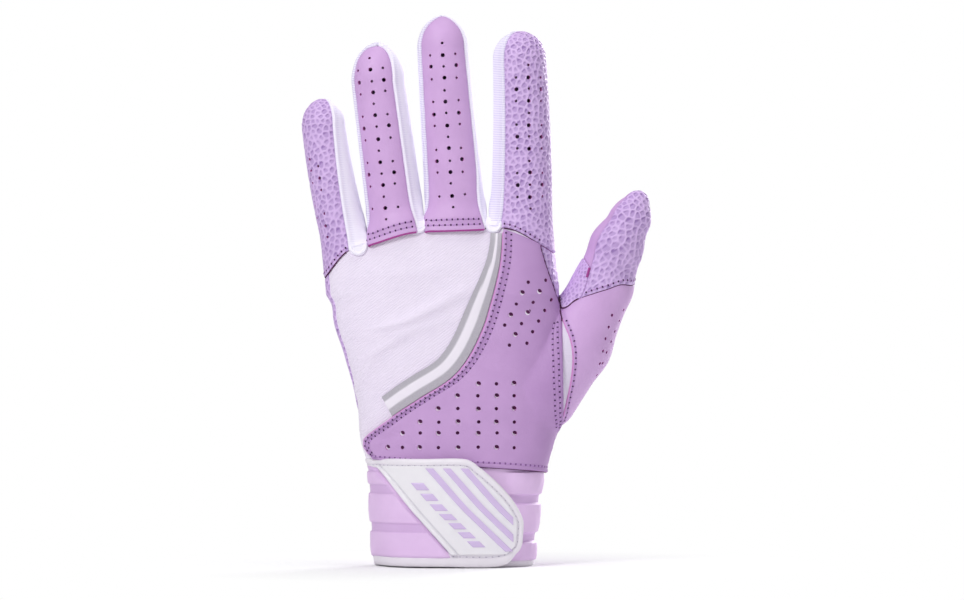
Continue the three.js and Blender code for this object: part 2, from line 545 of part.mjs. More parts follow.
function flapPieces() {
  const inset = BINDING + SEAM_GAP;
  const slope = (z) => clamp((flapRight(z + 0.5) - flapRight(z - 0.5)), -2, 2);
  const shellRight = (z) => flapRight(z) - inset * Math.hypot(1, slope(z));
  const ribHere = (x, z) => ribRise(z) * smoothstep(tabLeft(z) - x, 1, 6);
  const faceAt = (x, z) => {
    let angle = 0;
    for (let i = 0; i < 8; i += 1) angle = wristAngle(x, z, flapLift(angle) + PAD);
    return { angle, out: flapLift(angle) };
  };
  const shellAt = (u, v) => {
    const z = lerp(FLAP_BOTTOM + inset, FLAP_TOP - inset, v);
    const angle = lerp(FLAP_ROOT, faceAt(shellRight(z), z).angle, u);
    const out = flapLift(angle);
    const x = onCuff(angle, z, out + PAD).x;
    return [out, out + PAD + ribHere(x, z)].map((level) => onCuff(angle, z, level));
  };
  const corner = (angle, z) => new THREE.Vector2(onCuff(angle, z, flapLift(angle) + PAD).x, z);
  const corners = FLAP_EDGE.map((angle) => corner(angle, FLAP_BOTTOM));
  const sides = 12;
  for (let i = 0; i <= sides; i += 1) {
    const z = lerp(FLAP_BOTTOM, FLAP_TOP, i / sides);
    corners.push(new THREE.Vector2(flapRight(z), z));
  }
  corners.push(...FLAP_EDGE.slice(0, -1).reverse().map((angle) => corner(angle, FLAP_TOP)));
  const outline = new THREE.SplineCurve(corners);
  const bindingAt = (u, v) => {
    const [place, way] = [outline.getPointAt(v), outline.getTangentAt(v)];
    const [x, z] = [place.x - way.y * BINDING * u, place.y + way.x * BINDING * u];
    const { angle, out } = faceAt(x, z);
    return [out - BINDING_PROUD / 2, out + PAD + BINDING_PROUD].map((level) => onCuff(angle, z, level));
  };
  const tabAt = (u, v) => {
    const z = lerp(TAB_LEFT[0][0], TAB_LEFT[1][0], v);
    const x = lerp(tabLeft(z), shellRight(z) - TAB_MARGIN, u);
    const { angle, out } = faceAt(x, z);
    const face = out + PAD + LAYER_GAP;
    return [face, face + TAB].map((level) => onCuff(angle, z, level));
  };
  const lean = (TAB_LEFT[1][1] - TAB_LEFT[0][1]) / (TAB_LEFT[1][0] - TAB_LEFT[0][0]);
  const stripeAt = (start, shortening) => (u, v) => {
    const z = lerp(TAB_LEFT[0][0] + STRIPE.margin + shortening, TAB_LEFT[1][0] - STRIPE.margin, v);
    const breadth = STRIPE.width * Math.hypot(1, lean);
    const x = start + lean * (z - TAB_LEFT[1][0]) + breadth * u;
    const { angle, out } = faceAt(x, z);
    const face = out + PAD + 2 * LAYER_GAP + TAB;
    return [face, face + STRIPE.rise].map((level) => onCuff(angle, z, level));
  };
  const hookAt = (u, v) => {
    const z = lerp(PATCH.bottom, PATCH.top, v);
    const angle = wristAngle(lerp(PATCH.left, PATCH.right, u), z, FLAP_LIFT);
    const face = FLAP_LIFT - LAYER_GAP;
    return [face - HOOK, face].map((level) => onCuff(angle, z, level));
  };
  return [
    cutPiece("flap_shell", COLOURS.smooth, 14, 16, shellAt),
    cutPiece("flap_binding", COLOURS.white, 44, 1, bindingAt),
    cutPiece("tab_panel", COLOURS.rubber, 8, 9, tabAt),
    ...STRIPE.starts.map((start, i) => cutPiece(
      `tab_stripe_${i + 1}`, COLOURS.smooth, 9, 1, stripeAt(start, STRIPE.shortening[i]), 0)),
    cutPiece("hook_patch", COLOURS.hook, 3, 4, hookAt),
  ];
}

const glove = new THREE.Group();
glove.name = "batting_glove";
glove.add(...handPieces(), ...fingerPieces(), ...thumbPieces(), ...cuffPieces(), ...flapPieces());

// The origin lies under the middle of the glove's box
const box = new THREE.Box3().setFromObject(glove);
const middle = box.getCenter(new THREE.Vector3());
glove.position.set(-middle.x, -middle.y, -box.min.z);

export default glove;
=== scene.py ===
"""Looks of a left-hand batting glove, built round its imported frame.

Shapes are worked out in millimetres on the same hand form as the part's source: Z runs up to the fingertips,
-Y is the back of the hand and +X the thumb side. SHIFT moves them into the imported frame.
"""
import math

import bpy
import numpy as np
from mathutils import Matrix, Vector, kdtree


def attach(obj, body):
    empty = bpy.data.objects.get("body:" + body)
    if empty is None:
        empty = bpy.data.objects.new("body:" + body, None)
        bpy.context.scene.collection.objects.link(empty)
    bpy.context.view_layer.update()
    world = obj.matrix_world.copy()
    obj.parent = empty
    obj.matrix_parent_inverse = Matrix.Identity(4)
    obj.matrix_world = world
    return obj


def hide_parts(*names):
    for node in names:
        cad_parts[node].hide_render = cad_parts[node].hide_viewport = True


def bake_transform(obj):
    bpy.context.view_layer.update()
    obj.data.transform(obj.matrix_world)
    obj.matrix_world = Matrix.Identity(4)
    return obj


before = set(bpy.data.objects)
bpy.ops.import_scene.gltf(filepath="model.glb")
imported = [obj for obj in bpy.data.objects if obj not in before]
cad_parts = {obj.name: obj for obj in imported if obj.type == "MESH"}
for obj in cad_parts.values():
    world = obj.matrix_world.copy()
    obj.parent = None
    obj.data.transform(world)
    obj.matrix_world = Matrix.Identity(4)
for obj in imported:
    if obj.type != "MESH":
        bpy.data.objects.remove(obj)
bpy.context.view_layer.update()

MM = 0.001
SHIFT = np.array((-0.021, 3.206, -0.199))

# Sheet materials
LEATHER = 1.2
STRETCH = 1.0
OVERLAY = 0.9
FILM = 0.3
SEAM_GAP = 0.4
LAYER_GAP = 0.3
STALL_GAP = 0.6
BACK_SINK = 0.6
LAP = 1.6

# Hand, as shares of the palm's length from the wrist seam to the knuckle line
CUFF_HEIGHT = 40
PALM_LENGTH = 92
HAND_LEFT = ((0, -44), (0.13, -47.4), (0.28, -48.4), (0.48, -53), (0.65, -57.6), (0.93, -58.8))
HAND_RIGHT = ((0, 27.2), (0.13, 30.2), (0.28, 32), (0.65, 32), (0.93, 30))
HAND_DEPTH = ((0, 19.5), (0.3, 18.4), (0.65, 16), (0.93, 14.5))
WRIST_SQUARENESS = 2.1
KNUCKLE_SQUARENESS = 2.9
WEB_RISE = 35
WEB_ABOVE_KNUCKLE = 9
WEB_DROP = 7
BLEND = 5
KNUCKLE_Z = CUFF_HEIGHT + PALM_LENGTH
WEB_TOP = KNUCKLE_Z + WEB_ABOVE_KNUCKLE

# Finger stalls: centre line, length above the knuckle line, rounded tip and half widths
FINGERS = {
    "pinky": dict(base_x=-52.8, tip_x=-61.2, bow=-0.7, length=54.8, cap=10.8, base_half=9.8, tip_half=8.7),
    "ring": dict(base_x=-31.5, tip_x=-39.5, bow=0, length=77.6, cap=16, base_half=11.8, tip_half=10.9),
    "middle": dict(base_x=-7.9, tip_x=-13.7, bow=0, length=88.2, cap=13.2, base_half=12.4, tip_half=10.4),
    "index": dict(base_x=17.2, tip_x=16.8, bow=0.8, length=81.8, cap=10.8, base_half=12.6, tip_half=10.6),
}
STALL_ROOT = 24
STALL_DEPTH = 0.95
TIP_SHARE = 0.62
TIP_POLE = 85

# Seams round each stall, in degrees from the middle of its back, plus to the thumb side
PINKY_SEAMS = dict(base=3, back=26, palm=125)
RING_SEAMS = dict(back_left=-62, back_right=34, palm_right=118, palm_left=-118, nose=70, roundness=8)
MIDDLE_SEAMS = dict(back_left=-57, back_right=57, palm_right=122, palm_left=-122, nose=75, roundness=4)
INDEX_SEAMS = dict(back=-36, palm=-125)
BASE_CORNERS = (-60, 46)
BASE_LINE = ((-61, -17), (-51, -6), (-44, -3.8), (-24, 2), (10, 3), (26, -4), (31, -7))

# Seams between back and palm, and the free edge of the leather overlay
SEAM_LEFT = ((0, -100), (0.2, -100), (0.32, -86), (0.6, -79), (1, -79))
SEAM_RIGHT = ((0, 88), (0.13, 89.4), (0.69, 89.4), (0.75, 79), (0.85, 69), (0.96, 62))
PALM_STEP = 1.2
OVERLAY_EDGE = (
    (-42, 0.034), (-44.6, 0.13), (-24, 0.283), (-8, 0.402), (2, 0.587), (9, 0.848), (10.6, 1.028))
OVERLAY_FOOT = -0.002
OVERLAY_FOLD = 1.5  # the folded edge beside the thumb reaches this far over the gusset
FOLD_START, FOLD_END = (47, 60), (98, 108)  # heights over which that fold comes and goes
OVERLAY_SKIRT = 2.4  # the overlay's lower edge hangs this far over the cuff on the thumb side
BAND_OFFSET = 0.6
BAND_WIDTH = 9
BAND_TAPER = 0.5
BAND_SPAN = (0.2, 0.985)

# Thumb: spheres from the heel of the hand to the tip (x, y, height above the wrist seam, radius)
THUMB = ((24, 2, 30, 17), (38.5, 4, 49, 15), (50.5, 6, 72, 11.7), (56, 5, 88, 10.2), (61.7, 4, 99.5, 7.6),
         (64.2, 3.5, 105.6, 4.6))
THUMB_SOFTNESS = 3
THUMB_BLEND = 1.5
THUMB_SEAM_X = 33
THUMB_OPEN = (15, 61)  # heights above the wrist seam between which the hand opens to the thumb
THUMB_START = THUMB_SEAM_X + SEAM_GAP
THUMB_INNER = ((THUMB_START, 65), (35.5, 70), (43, 85), (53, 102))
THUMB_OUTER = ((THUMB_START, 13), (45, 31), (60, 61), (69, 98))
THUMB_SEAMS = dict(crotch=-118, foot=-38, inner=-57, outer=92)
THUMB_TIP_SHARE = 0.72
THUMB_TIP_SEAM = (
    (-118, 0.02), (-78, 0.06), (-58, 0.2), (-38, 0.338), (0, 0.452), (40, 0.523), (92, 0.553))
THUMB_CROTCH_END = 0.46
THUMB_INNER_BEND = 0.55
GUSSET = dict(start=-78, end=70, edge=0.02, bulge=0.16)

# Cuff
CUFF_HALF = (28.5, 31.5)
CUFF_DEPTH = (16.5, 17.2)
CUFF_CENTRE = (-9.3, -8.2)
PAD = 2.6
RIB_RISE = 1.6
RIB_GROOVES = (0.06, 0.4, 0.78, 0.995)
RIB_DROP = 4.2
SIDE_SWELL, SIDE_RIBS = 0.9, 0.62  # beside the flap's root the padding is fuller and its grooves shallower
SIDE_START = (190, 262)  # degrees round the wrist over which that comes in
DROP_START = 180  # degrees round the wrist where the ribs start to rise towards the flap's root
GROOVE_FLOOR = 1.5  # half the width of the flat strip between two ribs
RIB_FORM = ((0.72, 0.7), (0.28, 5))  # a rib's steep wall and its long crown: share of the rise, width
LINING = 0.6
HEM = 2.8
HEM_PROUD = 0.8
CUFF_END = -24
FLAP_ROOT = -90
RIB_FADE = (33, 46)

# Closure flap
FLAP_BOTTOM = 1.2
FLAP_TOP = CUFF_HEIGHT - 0.5
FLAP_RIGHT = (
    (FLAP_BOTTOM, 9), (3.2, 14.6), (8, 18), (16, 18.6), (22, 16.4), (FLAP_TOP - 1.9, -0.8), (FLAP_TOP, -5))
FLAP_EDGE = (-89, -60, -40, -20, -5)
FLAP_RAMP = (-76, -29)
FLAP_CREST = 2.4  # the flap's upper edge stands this much higher than the cuff's and laps the hand
FLAP_RAISE, FLAP_SAG = 1.6, 0.6
ROOT_LIFT = 1.8
ROOT_RISE, ROOT_FADE = (33, 40), (-80, -50)  # heights, and degrees round the wrist, of that lift
BINDING = 2.4
HOOK = 0.9
LOOP = 0.9
PATCH = dict(left=-16, right=6, bottom=7, top=24)
TAB = 1.4
TAB_LEFT = ((FLAP_BOTTOM + 3.6, -11.2), (FLAP_TOP - 3.3, -38.6))
TAB_MARGIN = 0.6
STRIPE = dict(width=2.15, starts=(-20.4, -13.7, -6.9))
BAR_LEAN = -1.0
BAR_END = 13.6  # the bars are cut off upright here
FLAP_LIFT = PAD + 3 * LAYER_GAP + LOOP + HOOK

# Perforations: rows run from the tip (x, z) to the knuckle (x, z)
SMALL_HOLE = 0.55
BIG_HOLE = 0.82
OVERLAY_HOLES = (0.72, 1.02)
HOLE_COLUMN = 4.9
FINGER_HOLES = {
    "ring": dict(rows=15, head=(-42.8, 202.8), foot=(-36, 138.4)),
    "middle": dict(rows=15, head=(-14, 208.8), foot=(-9.6, 143.2)),
    "index": dict(rows=13, head=(20.4, 200), foot=(21.2, 142.8)),
}


def lerp(a, b, t):
    return a + (b - a) * t


def smoothstep(x, low, high):
    t = np.clip((x - low) / (high - low), 0, 1)
    return t * t * (3 - 2 * t)


def vector(x, y, z):
    return np.stack(np.broadcast_arrays(x, y, z), axis=-1).astype(float)


def unit(vectors):
    return vectors / np.maximum(np.linalg.norm(vectors, axis=-1, keepdims=True), 1e-9)


def profile(pairs):
    """Smooth curve through (place, value) pairs that never swings past them, level beyond both ends."""
    places, values = np.array(pairs, float).T
    chords = np.diff(values) / np.diff(places)
    before, after = np.r_[chords[:1], chords], np.r_[chords, chords[-1:]]
    same = before * after > 0
    slopes = np.where(same, 2 * before * after / np.where(same, before + after, 1), 0)

    def value(place):
        place = np.clip(place, places[0], places[-1])
        i = np.clip(np.searchsorted(places, place, "right") - 1, 0, len(places) - 2)
        span = places[i + 1] - places[i]
        t = (place - places[i]) / span
        rise = t * t * (3 - 2 * t)
        start, end = t * (1 - t) ** 2 * span * slopes[i], t * t * (t - 1) * span * slopes[i + 1]
        return lerp(values[i], values[i + 1], rise) + start + end

    return value


hand_left, hand_right, hand_depth = profile(HAND_LEFT), profile(HAND_RIGHT), profile(HAND_DEPTH)
seam_left, seam_right = profile(SEAM_LEFT), profile(SEAM_RIGHT)
base_line, flap_right, tip_seam = profile(BASE_LINE), profile(FLAP_RIGHT), profile(THUMB_TIP_SEAM)


def palm_share(z):
    return (z - CUFF_HEIGHT) / PALM_LENGTH


def base_height(x):
    return KNUCKLE_Z + base_line(x)


def smooth_min(a, b, softness):
    near = np.maximum(softness - np.abs(a - b), 0) / softness
    return np.minimum(a, b) - near * near * softness / 4


def hand_field(x, y, z):
    """Negative inside the hand's outer skin."""
    share = palm_share(z)
    left, depth = hand_left(share), hand_depth(share)
    half = (hand_right(share) - left) / 2
    closing = WEB_TOP - WEB_RISE - WEB_DROP * smoothstep(-x, 25, 55)
    top = np.maximum(0, z - closing) / WEB_RISE
    power = lerp(WRIST_SQUARENESS, KNUCKLE_SQUARENESS, np.clip(share, 0, 1))
    total = (np.abs(x - left - half) / half) ** power + (np.abs(y) / depth) ** power + top ** power
    return (total ** (1 / power) - 1) * depth


def tip_centre(finger):
    return KNUCKLE_Z + finger["length"] - finger["cap"]


def stall_share(finger, z):
    return np.clip((z - KNUCKLE_Z) / (tip_centre(finger) - KNUCKLE_Z), -0.6, 1)


def stall_half(finger, z):
    return lerp(finger["base_half"], finger["tip_half"], stall_share(finger, z))


def stall_centre(finger, z):
    t = stall_share(finger, z)
    return lerp(finger["base_x"], finger["tip_x"], t) + finger["bow"] * 4 * np.maximum(0, t) * (1 - t)


def stall_field(finger, x, y, z):
    half = stall_half(finger, z)
    over = np.maximum(0, z - tip_centre(finger)) * half / finger["cap"]
    rooted = np.maximum(0, KNUCKLE_Z - STALL_ROOT - z)
    return np.sqrt((x - stall_centre(finger, z)) ** 2 + (y / STALL_DEPTH) ** 2 + over ** 2) - half + rooted


def thumb_field(x, y, z):
    field = np.full(np.shape(x), np.inf)
    for (ax, ay, au, ar), (bx, by, bu, br) in zip(THUMB, THUMB[1:]):
        dx, dy, dz = bx - ax, by - ay, bu - au
        px, py, pz = x - ax, y - ay, z - CUFF_HEIGHT - au
        t = np.clip((px * dx + py * dy + pz * dz) / (dx * dx + dy * dy + dz * dz), 0, 1)
        reach = np.sqrt((px - dx * t) ** 2 + (py - dy * t) ** 2 + (pz - dz * t) ** 2)
        field = smooth_min(field, reach - lerp(ar, br, t), THUMB_SOFTNESS)
    return field


def stall_form(name):
    """One stall with the hand that it grows from, kept on its side of the neighbouring stalls."""
    names = list(FINGERS)
    place = names.index(name)
    finger = FINGERS[name]

    def between(left, right, z):
        return (stall_centre(left, z) + stall_half(left, z)
                + stall_centre(right, z) - stall_half(right, z)) / 2

    def form(x, y, z):
        field = smooth_min(hand_field(x, y, z), stall_field(finger, x, y, z), BLEND)
        if place > 0:
            field = np.maximum(field, between(FINGERS[names[place - 1]], finger, z) + STALL_GAP / 2 - x)
        if place < len(names) - 1:
            field = np.maximum(field, x - between(finger, FINGERS[names[place + 1]], z) + STALL_GAP / 2)
        return field

    return form


def thumb_form(x, y, z):
    body = smooth_min(hand_field(x, y, z), thumb_field(x, y, z), THUMB_BLEND)
    return np.maximum(body, THUMB_SEAM_X + SEAM_GAP / 2 - x)


def hand_form(x, y, z):
    hand = hand_field(x, y, z)
    field = smooth_min(hand, thumb_field(x, y, z), THUMB_BLEND)
    for finger in FINGERS.values():
        field = np.minimum(field, smooth_min(hand, stall_field(finger, x, y, z), BLEND))
    return np.maximum(field, x - THUMB_SEAM_X + SEAM_GAP / 2)


LONGEST_RAY = 90  # millimetres, and as many steps
HALVINGS = 20  # of the last step


def skin(form, origin, direction):
    """Where rays from inside a form meet its skin, and the outward normals there."""
    shape = np.broadcast_shapes(origin.shape, direction.shape)
    start, way = (np.broadcast_to(a, shape).reshape(-1, 3) for a in (origin, direction))
    near, far = np.zeros(len(start)), np.ones(len(start))
    for _ in range(LONGEST_RAY):
        inside = form(*(start + way * far[:, None]).T) < 0
        if not inside.any():
            break
        near, far = np.where(inside, far, near), np.where(inside, far + 1, far)
    for _ in range(HALVINGS):
        half = (near + far) / 2
        inside = form(*(start + way * half[:, None]).T) < 0
        near, far = np.where(inside, half, near), np.where(inside, far, half)
    points = start + way * far[:, None]
    x, y, z = points.T
    reach = 0.05
    normals = vector(
        form(x + reach, y, z) - form(x - reach, y, z),
        form(x, y + reach, z) - form(x, y - reach, z),
        form(x, y, z + reach) - form(x, y, z - reach))
    return points.reshape(shape), unit(normals).reshape(shape)


def on_hand(angle, z):
    """Back (below 90 degrees) or palm of the hand at one height, by the angle round it."""
    share = palm_share(z)
    left, right, depth = hand_left(share), hand_right(share), hand_depth(share)
    middle, up = (right + left) / 2, z - CUFF_HEIGHT
    opened = smoothstep(up, THUMB_OPEN[0] - 3, THUMB_OPEN[0] + 4)
    opened = opened * (1 - smoothstep(up, THUMB_OPEN[1] - 4, THUMB_OPEN[1] + 3))
    turn, back = np.sin(np.radians(angle)), np.cos(np.radians(angle)) > 0
    opening = THUMB_SEAM_X - SEAM_GAP
    edge = np.where(turn < 0, left, lerp(right, opening, opened))
    x = middle + np.abs(turn) * (edge - middle)
    limit = lerp(right - depth, opening, opened)
    core = np.clip(x, left + depth, np.where(back, np.maximum(x, limit), limit))
    lean = np.clip((x - core) / depth, -1, 1)
    away = np.where(back, -1, 1) * np.sqrt(1 - lean ** 2)
    return skin(hand_form, vector(core, 0, z), vector(lean, away, 0))


def back_angle(x, z):
    """Angle round the hand of a place on its back, seen from the front."""
    share = palm_share(z)
    left, right = hand_left(share), hand_right(share)
    middle = (right + left) / 2
    turn = (x - middle) / np.where(x < middle, middle - left, right - middle)
    return np.degrees(np.arcsin(np.clip(turn, -1, 1)))


def meet_base(ray_at, like):
    """Height at which rays, one for each height, meet the line where the stalls start."""
    z = np.full(np.shape(like), float(KNUCKLE_Z - WEB_ABOVE_KNUCKLE))
    for _ in range(8):
        z = (z + base_height(ray_at(z)[0][..., 0])) / 2
    return z


def on_stall(name, angle, rise, drop=0):
    """Round a stall: rise 0 is its base, TIP_SHARE its tip centre and 1 its pole."""
    finger, form, turn = FINGERS[name], stall_form(name), np.radians(angle)

    def ray(z, tilt):
        way = vector(np.cos(tilt) * np.sin(turn), -np.cos(tilt) * np.cos(turn), np.sin(tilt))
        return skin(form, vector(stall_centre(finger, z), 0, z), way)

    base = meet_base(lambda z: ray(z, 0), angle) + SEAM_GAP / 2 - drop
    tilt = np.radians(TIP_POLE) * np.maximum(0, (rise - TIP_SHARE) / (1 - TIP_SHARE))
    return ray(lerp(base, tip_centre(finger), np.minimum(1, rise / TIP_SHARE)), tilt)


def curve(corners):
    """Even-speed curve through corners: place from 0 to 1 gives the point and the direction there."""
    corners = np.array(corners, float)
    t = np.linspace(0, len(corners) - 1, 60 * len(corners))
    i = np.minimum(t.astype(int), len(corners) - 2)
    f = (t - i)[:, None]
    p0, p1, p2 = corners[np.maximum(i - 1, 0)], corners[i], corners[i + 1]
    p3 = corners[np.minimum(i + 2, len(corners) - 1)]
    m1, m2 = (p2 - p0) / 2, (p3 - p1) / 2
    dense = (2 * f ** 3 - 3 * f ** 2 + 1) * p1 + (f ** 3 - 2 * f ** 2 + f) * m1
    dense = dense + (3 * f ** 2 - 2 * f ** 3) * p2 + (f ** 3 - f ** 2) * m2
    run = np.r_[0, np.cumsum(np.linalg.norm(np.diff(dense, axis=0), axis=1))]
    slope = unit(np.gradient(dense, axis=0))

    def at(place):
        far = np.asarray(place) * run[-1]
        point = np.stack([np.interp(far, run, column) for column in dense.T], -1)
        return point, unit(np.stack([np.interp(far, run, column) for column in slope.T], -1))

    def even(place):
        """The same curve with each stretch between two corners given the same share."""
        far = np.asarray(place) * (len(corners) - 1)
        return np.stack([np.interp(far, t, column) for column in dense.T], -1)

    return at, even


_, inner_edge = curve(THUMB_INNER)
_, outer_edge = curve(THUMB_OUTER)


def on_thumb(angle, rise):
    """Round the thumb: rise 0 is its seam with the hand, THUMB_TIP_SHARE its tip centre and 1 its pole."""
    t = np.minimum(1, rise / THUMB_TIP_SHARE)
    inner, outer = inner_edge(t), outer_edge(t)
    depths = [sphere[1] for sphere in THUMB]
    y = np.interp(t * (len(THUMB) - 1), np.arange(len(THUMB)), depths)
    middle = (inner + outer) / 2
    outward = unit(outer - inner)
    turn = np.radians(angle)
    tilt = np.radians(TIP_POLE) * np.maximum(0, (rise - THUMB_TIP_SHARE) / (1 - THUMB_TIP_SHARE))
    side, up = np.cos(tilt) * np.sin(turn), np.sin(tilt)
    way = vector(outward[..., 0] * side - outward[..., 1] * up, -np.cos(tilt) * np.cos(turn),
                 outward[..., 1] * side + outward[..., 0] * up)
    return skin(thumb_form, vector(middle[..., 0], y, CUFF_HEIGHT + middle[..., 1]), way)


def cuff_section(z):
    share = np.clip(z / CUFF_HEIGHT, 0, 1)
    return lerp(*CUFF_CENTRE, share), lerp(*CUFF_HALF, share), lerp(*CUFF_DEPTH, share)


def on_cuff(angle, z, out=0):
    """Place on the cuff's inner face, or out from it, and the outward normal."""
    centre, half, depth = cuff_section(z)
    sin, cos = np.sin(np.radians(angle)), np.cos(np.radians(angle))
    outward = unit(vector(sin / half, -cos / depth, 0))
    return vector(centre + half * sin, -depth * cos, z) + outward * np.asarray(out)[..., None], outward


def wrist_angle(x, z, out):
    """Angle round the wrist of a place seen from the back, at a distance out from the cuff's inner face."""
    centre, half, depth = cuff_section(z)
    sin = np.clip((x - centre) / (half + out), -1, 1)
    for _ in range(12):
        outward = sin / half / np.hypot(sin / half, np.sqrt(1 - sin ** 2) / depth)
        sin = np.clip((sin + (x - centre - outward * out) / half) / 2, -1, 1)
    return np.degrees(np.arcsin(sin))


def rib_rise(z, drop=0):
    """Padded ribs between the flat strips where the quilting is sewn down, all but the top one dropped."""
    *lower, top = (CUFF_HEIGHT * share for share in RIB_GROOVES)
    away = np.minimum.reduce([np.abs(z + drop - groove) for groove in lower] + [np.abs(z - top)])
    return RIB_RISE * sum(
        share * smoothstep(away, GROOVE_FLOOR, GROOVE_FLOOR + width) for share, width in RIB_FORM)


def flap_lift(angle):
    return FLAP_LIFT * smoothstep(angle, *FLAP_RAMP)


def tab_left(z):
    (low, left), (high, right) = TAB_LEFT
    return lerp(left, right, (z - low) / (high - low))


# Cut pieces


def spline_weights(places, count):
    """Weights that carry even control points to places between 0 and 1 on a smooth curve."""
    t = np.asarray(places) * (count - 1)
    i = np.clip(t.astype(int), 0, count - 2)
    f = t - i
    shares = (
        -0.5 * f + f ** 2 - 0.5 * f ** 3, 1 - 2.5 * f ** 2 + 1.5 * f ** 3,
        0.5 * f + 2 * f ** 2 - 1.5 * f ** 3, -0.5 * f ** 2 + 0.5 * f ** 3)
    weights = np.zeros((len(t), count + 2))
    for offset, share in enumerate(shares):
        weights[np.arange(len(t)), i + offset] += share
    inside = weights[:, 1:-1].copy()
    inside[:, 0] += 2 * weights[:, 0]
    inside[:, 1] -= weights[:, 0]
    inside[:, -1] += 2 * weights[:, -1]
    inside[:, -2] -= weights[:, -1]
    return inside


def resample(grid, us, vs):
    rows, columns = grid.shape[:2]
    along, across = spline_weights(vs, rows), spline_weights(us, columns)
    return np.einsum("ai,ijk,bj->abk", along, grid, across, optimize=True)


EDGE_LINES = np.array((0, 0.1, 0.28, 0.55, 0.9))  # millimetres in from an edge
EDGE_STEP = 0.4


def edge_lines(length, step):
    """Places from 0 to 1, closer together beside both ends, where edges roll over."""
    first = EDGE_LINES[-1] + EDGE_STEP
    if length < 4 * first:
        return np.linspace(0, 1, max(4, round(length / EDGE_STEP)))
    inner = np.linspace(first, length - first, max(2, round((length - 2 * first) / step) + 1))
    return np.r_[EDGE_LINES, inner, length - EDGE_LINES[::-1]] / length


class Cut:
    """Fine grid over one cut piece, u across and v along it, with each point's distance from the edges."""

    def __init__(self, place, rows, columns, step):
        u, v = np.meshgrid(np.linspace(0, 1, columns + 1), np.linspace(0, 1, rows + 1))
        points, normals = place(u, v)
        across = np.linalg.norm(np.diff(points, axis=1), axis=2).sum(1).max()
        along = np.linalg.norm(np.diff(points, axis=0), axis=2).sum(0).max()
        us, vs = edge_lines(across, step), edge_lines(along, step)
        self.points = resample(points, us, vs)
        self.normals = unit(resample(normals, us, vs))
        self.u, self.v = np.meshgrid(us, vs)
        wide = np.linalg.norm(np.diff(self.points, axis=1), axis=2)
        tall = np.linalg.norm(np.diff(self.points, axis=0), axis=2)
        self.left = np.pad(np.cumsum(wide, 1), ((0, 0), (1, 0)))
        self.right = self.left[:, -1:] - self.left
        self.bottom = np.pad(np.cumsum(tall, 0), ((1, 0), (0, 0)))
        self.top = self.bottom[-1:] - self.bottom
        self.gaps = dict(l=self.left, r=self.right, b=self.bottom, t=self.top)
        self.size = (across, along)
        middle = (wide[1:] + wide[:-1]) / 2
        self.area = float((middle * (tall[:, 1:] + tall[:, :-1]) / 2).sum())
        self.zero = np.zeros(self.u.shape)
        self.face = self.points

    def edge(self, sides="lrbt"):
        """Distance from the nearest of the named sides."""
        return np.minimum.reduce([self.gaps[side] for side in sides])

    def rolled(self, radius, depth):
        """How far the face sinks where it rolls over its edges, less where the piece is narrow."""
        narrow = np.minimum(1, (self.left + self.right) / (8 * radius))
        share = np.clip(1 - self.edge() / np.maximum(radius * narrow, 0.05), 0, 1)
        return -depth * narrow * (1 - np.sqrt(1 - share ** 2))

    def path(self, side, offset, start, end):
        """Points and normals of the worked face along a line beside one side, between two shares of it."""
        along_u = side in "bt"
        gap, points, normals = self.gaps[side], self.face, self.normals
        if not along_u:
            gap, points, normals = gap.T, points.transpose(1, 0, 2), normals.transpose(1, 0, 2)
        if side in "rt":
            gap, points, normals = gap[::-1], points[::-1], normals[::-1]
        shares = self.u[0] if along_u else self.v[:, 0]
        chosen = [j for j, share in enumerate(shares) if start <= share <= end]

        def pick(grid):
            return np.array([[np.interp(offset, gap[:, j], grid[:, j, k]) for k in range(3)] for j in chosen])

        return pick(points), unit(pick(normals))

    def nearest(self, x, z):
        """Point of the piece's back at a place seen from the front, and the normal there."""
        away = (self.points[..., 0] - x) ** 2 + (self.points[..., 2] - z) ** 2
        place = np.argmin(np.where(self.normals[..., 1] < 0.2, away, 1e9))
        return self.points.reshape(-1, 3)[place], self.normals.reshape(-1, 3)[place]


def pierce(cut, holes):
    """Cells that stay, and how far points move so that each hole is round."""
    points = cut.points
    centres = (points[1:, 1:] + points[:-1, 1:] + points[1:, :-1] + points[:-1, :-1]) / 4
    keep = np.ones(centres.shape[:2], bool)
    moves = np.zeros(points.shape)
    for (x, z), radius in holes:
        heart, _ = cut.nearest(x, z)
        gone = np.linalg.norm(centres - heart, axis=2) < radius
        if gone.any():
            keep &= ~gone
            near = np.pad(gone, 1)
            rim = near[1:, 1:] | near[:-1, 1:] | near[1:, :-1] | near[:-1, :-1]
            away = points - heart
            reach = np.maximum(np.linalg.norm(away, axis=2, keepdims=True), 1e-6)
            moves = np.where(rim[..., None], away * (radius / reach - 1), moves)
    return keep, moves - cut.normals * (moves * cut.normals).sum(2, keepdims=True)


SHARP_EDGE = 48  # degrees between two faces


def make_mesh(name, points, faces, materials, face_materials, tones=None):
    mesh = bpy.data.meshes.new(name)
    mesh.from_pydata(((points + SHIFT) * MM).tolist(), [], faces)
    for material in materials:
        mesh.materials.append(material)
    if face_materials is not None:
        mesh.polygons.foreach_set("material_index", np.asarray(face_materials, np.int32))
    mesh.polygons.foreach_set("use_smooth", np.ones(len(mesh.polygons), bool))
    mesh.set_sharp_from_angle(angle=math.radians(SHARP_EDGE))
    tone = mesh.attributes.new("tone", "FLOAT", "POINT")
    tone.data.foreach_set("value", np.asarray(np.zeros(len(points)) if tones is None else tones, np.float32))
    mesh.update()
    piece = bpy.data.objects.new(name, mesh)
    bpy.context.scene.collection.objects.link(piece)
    return piece


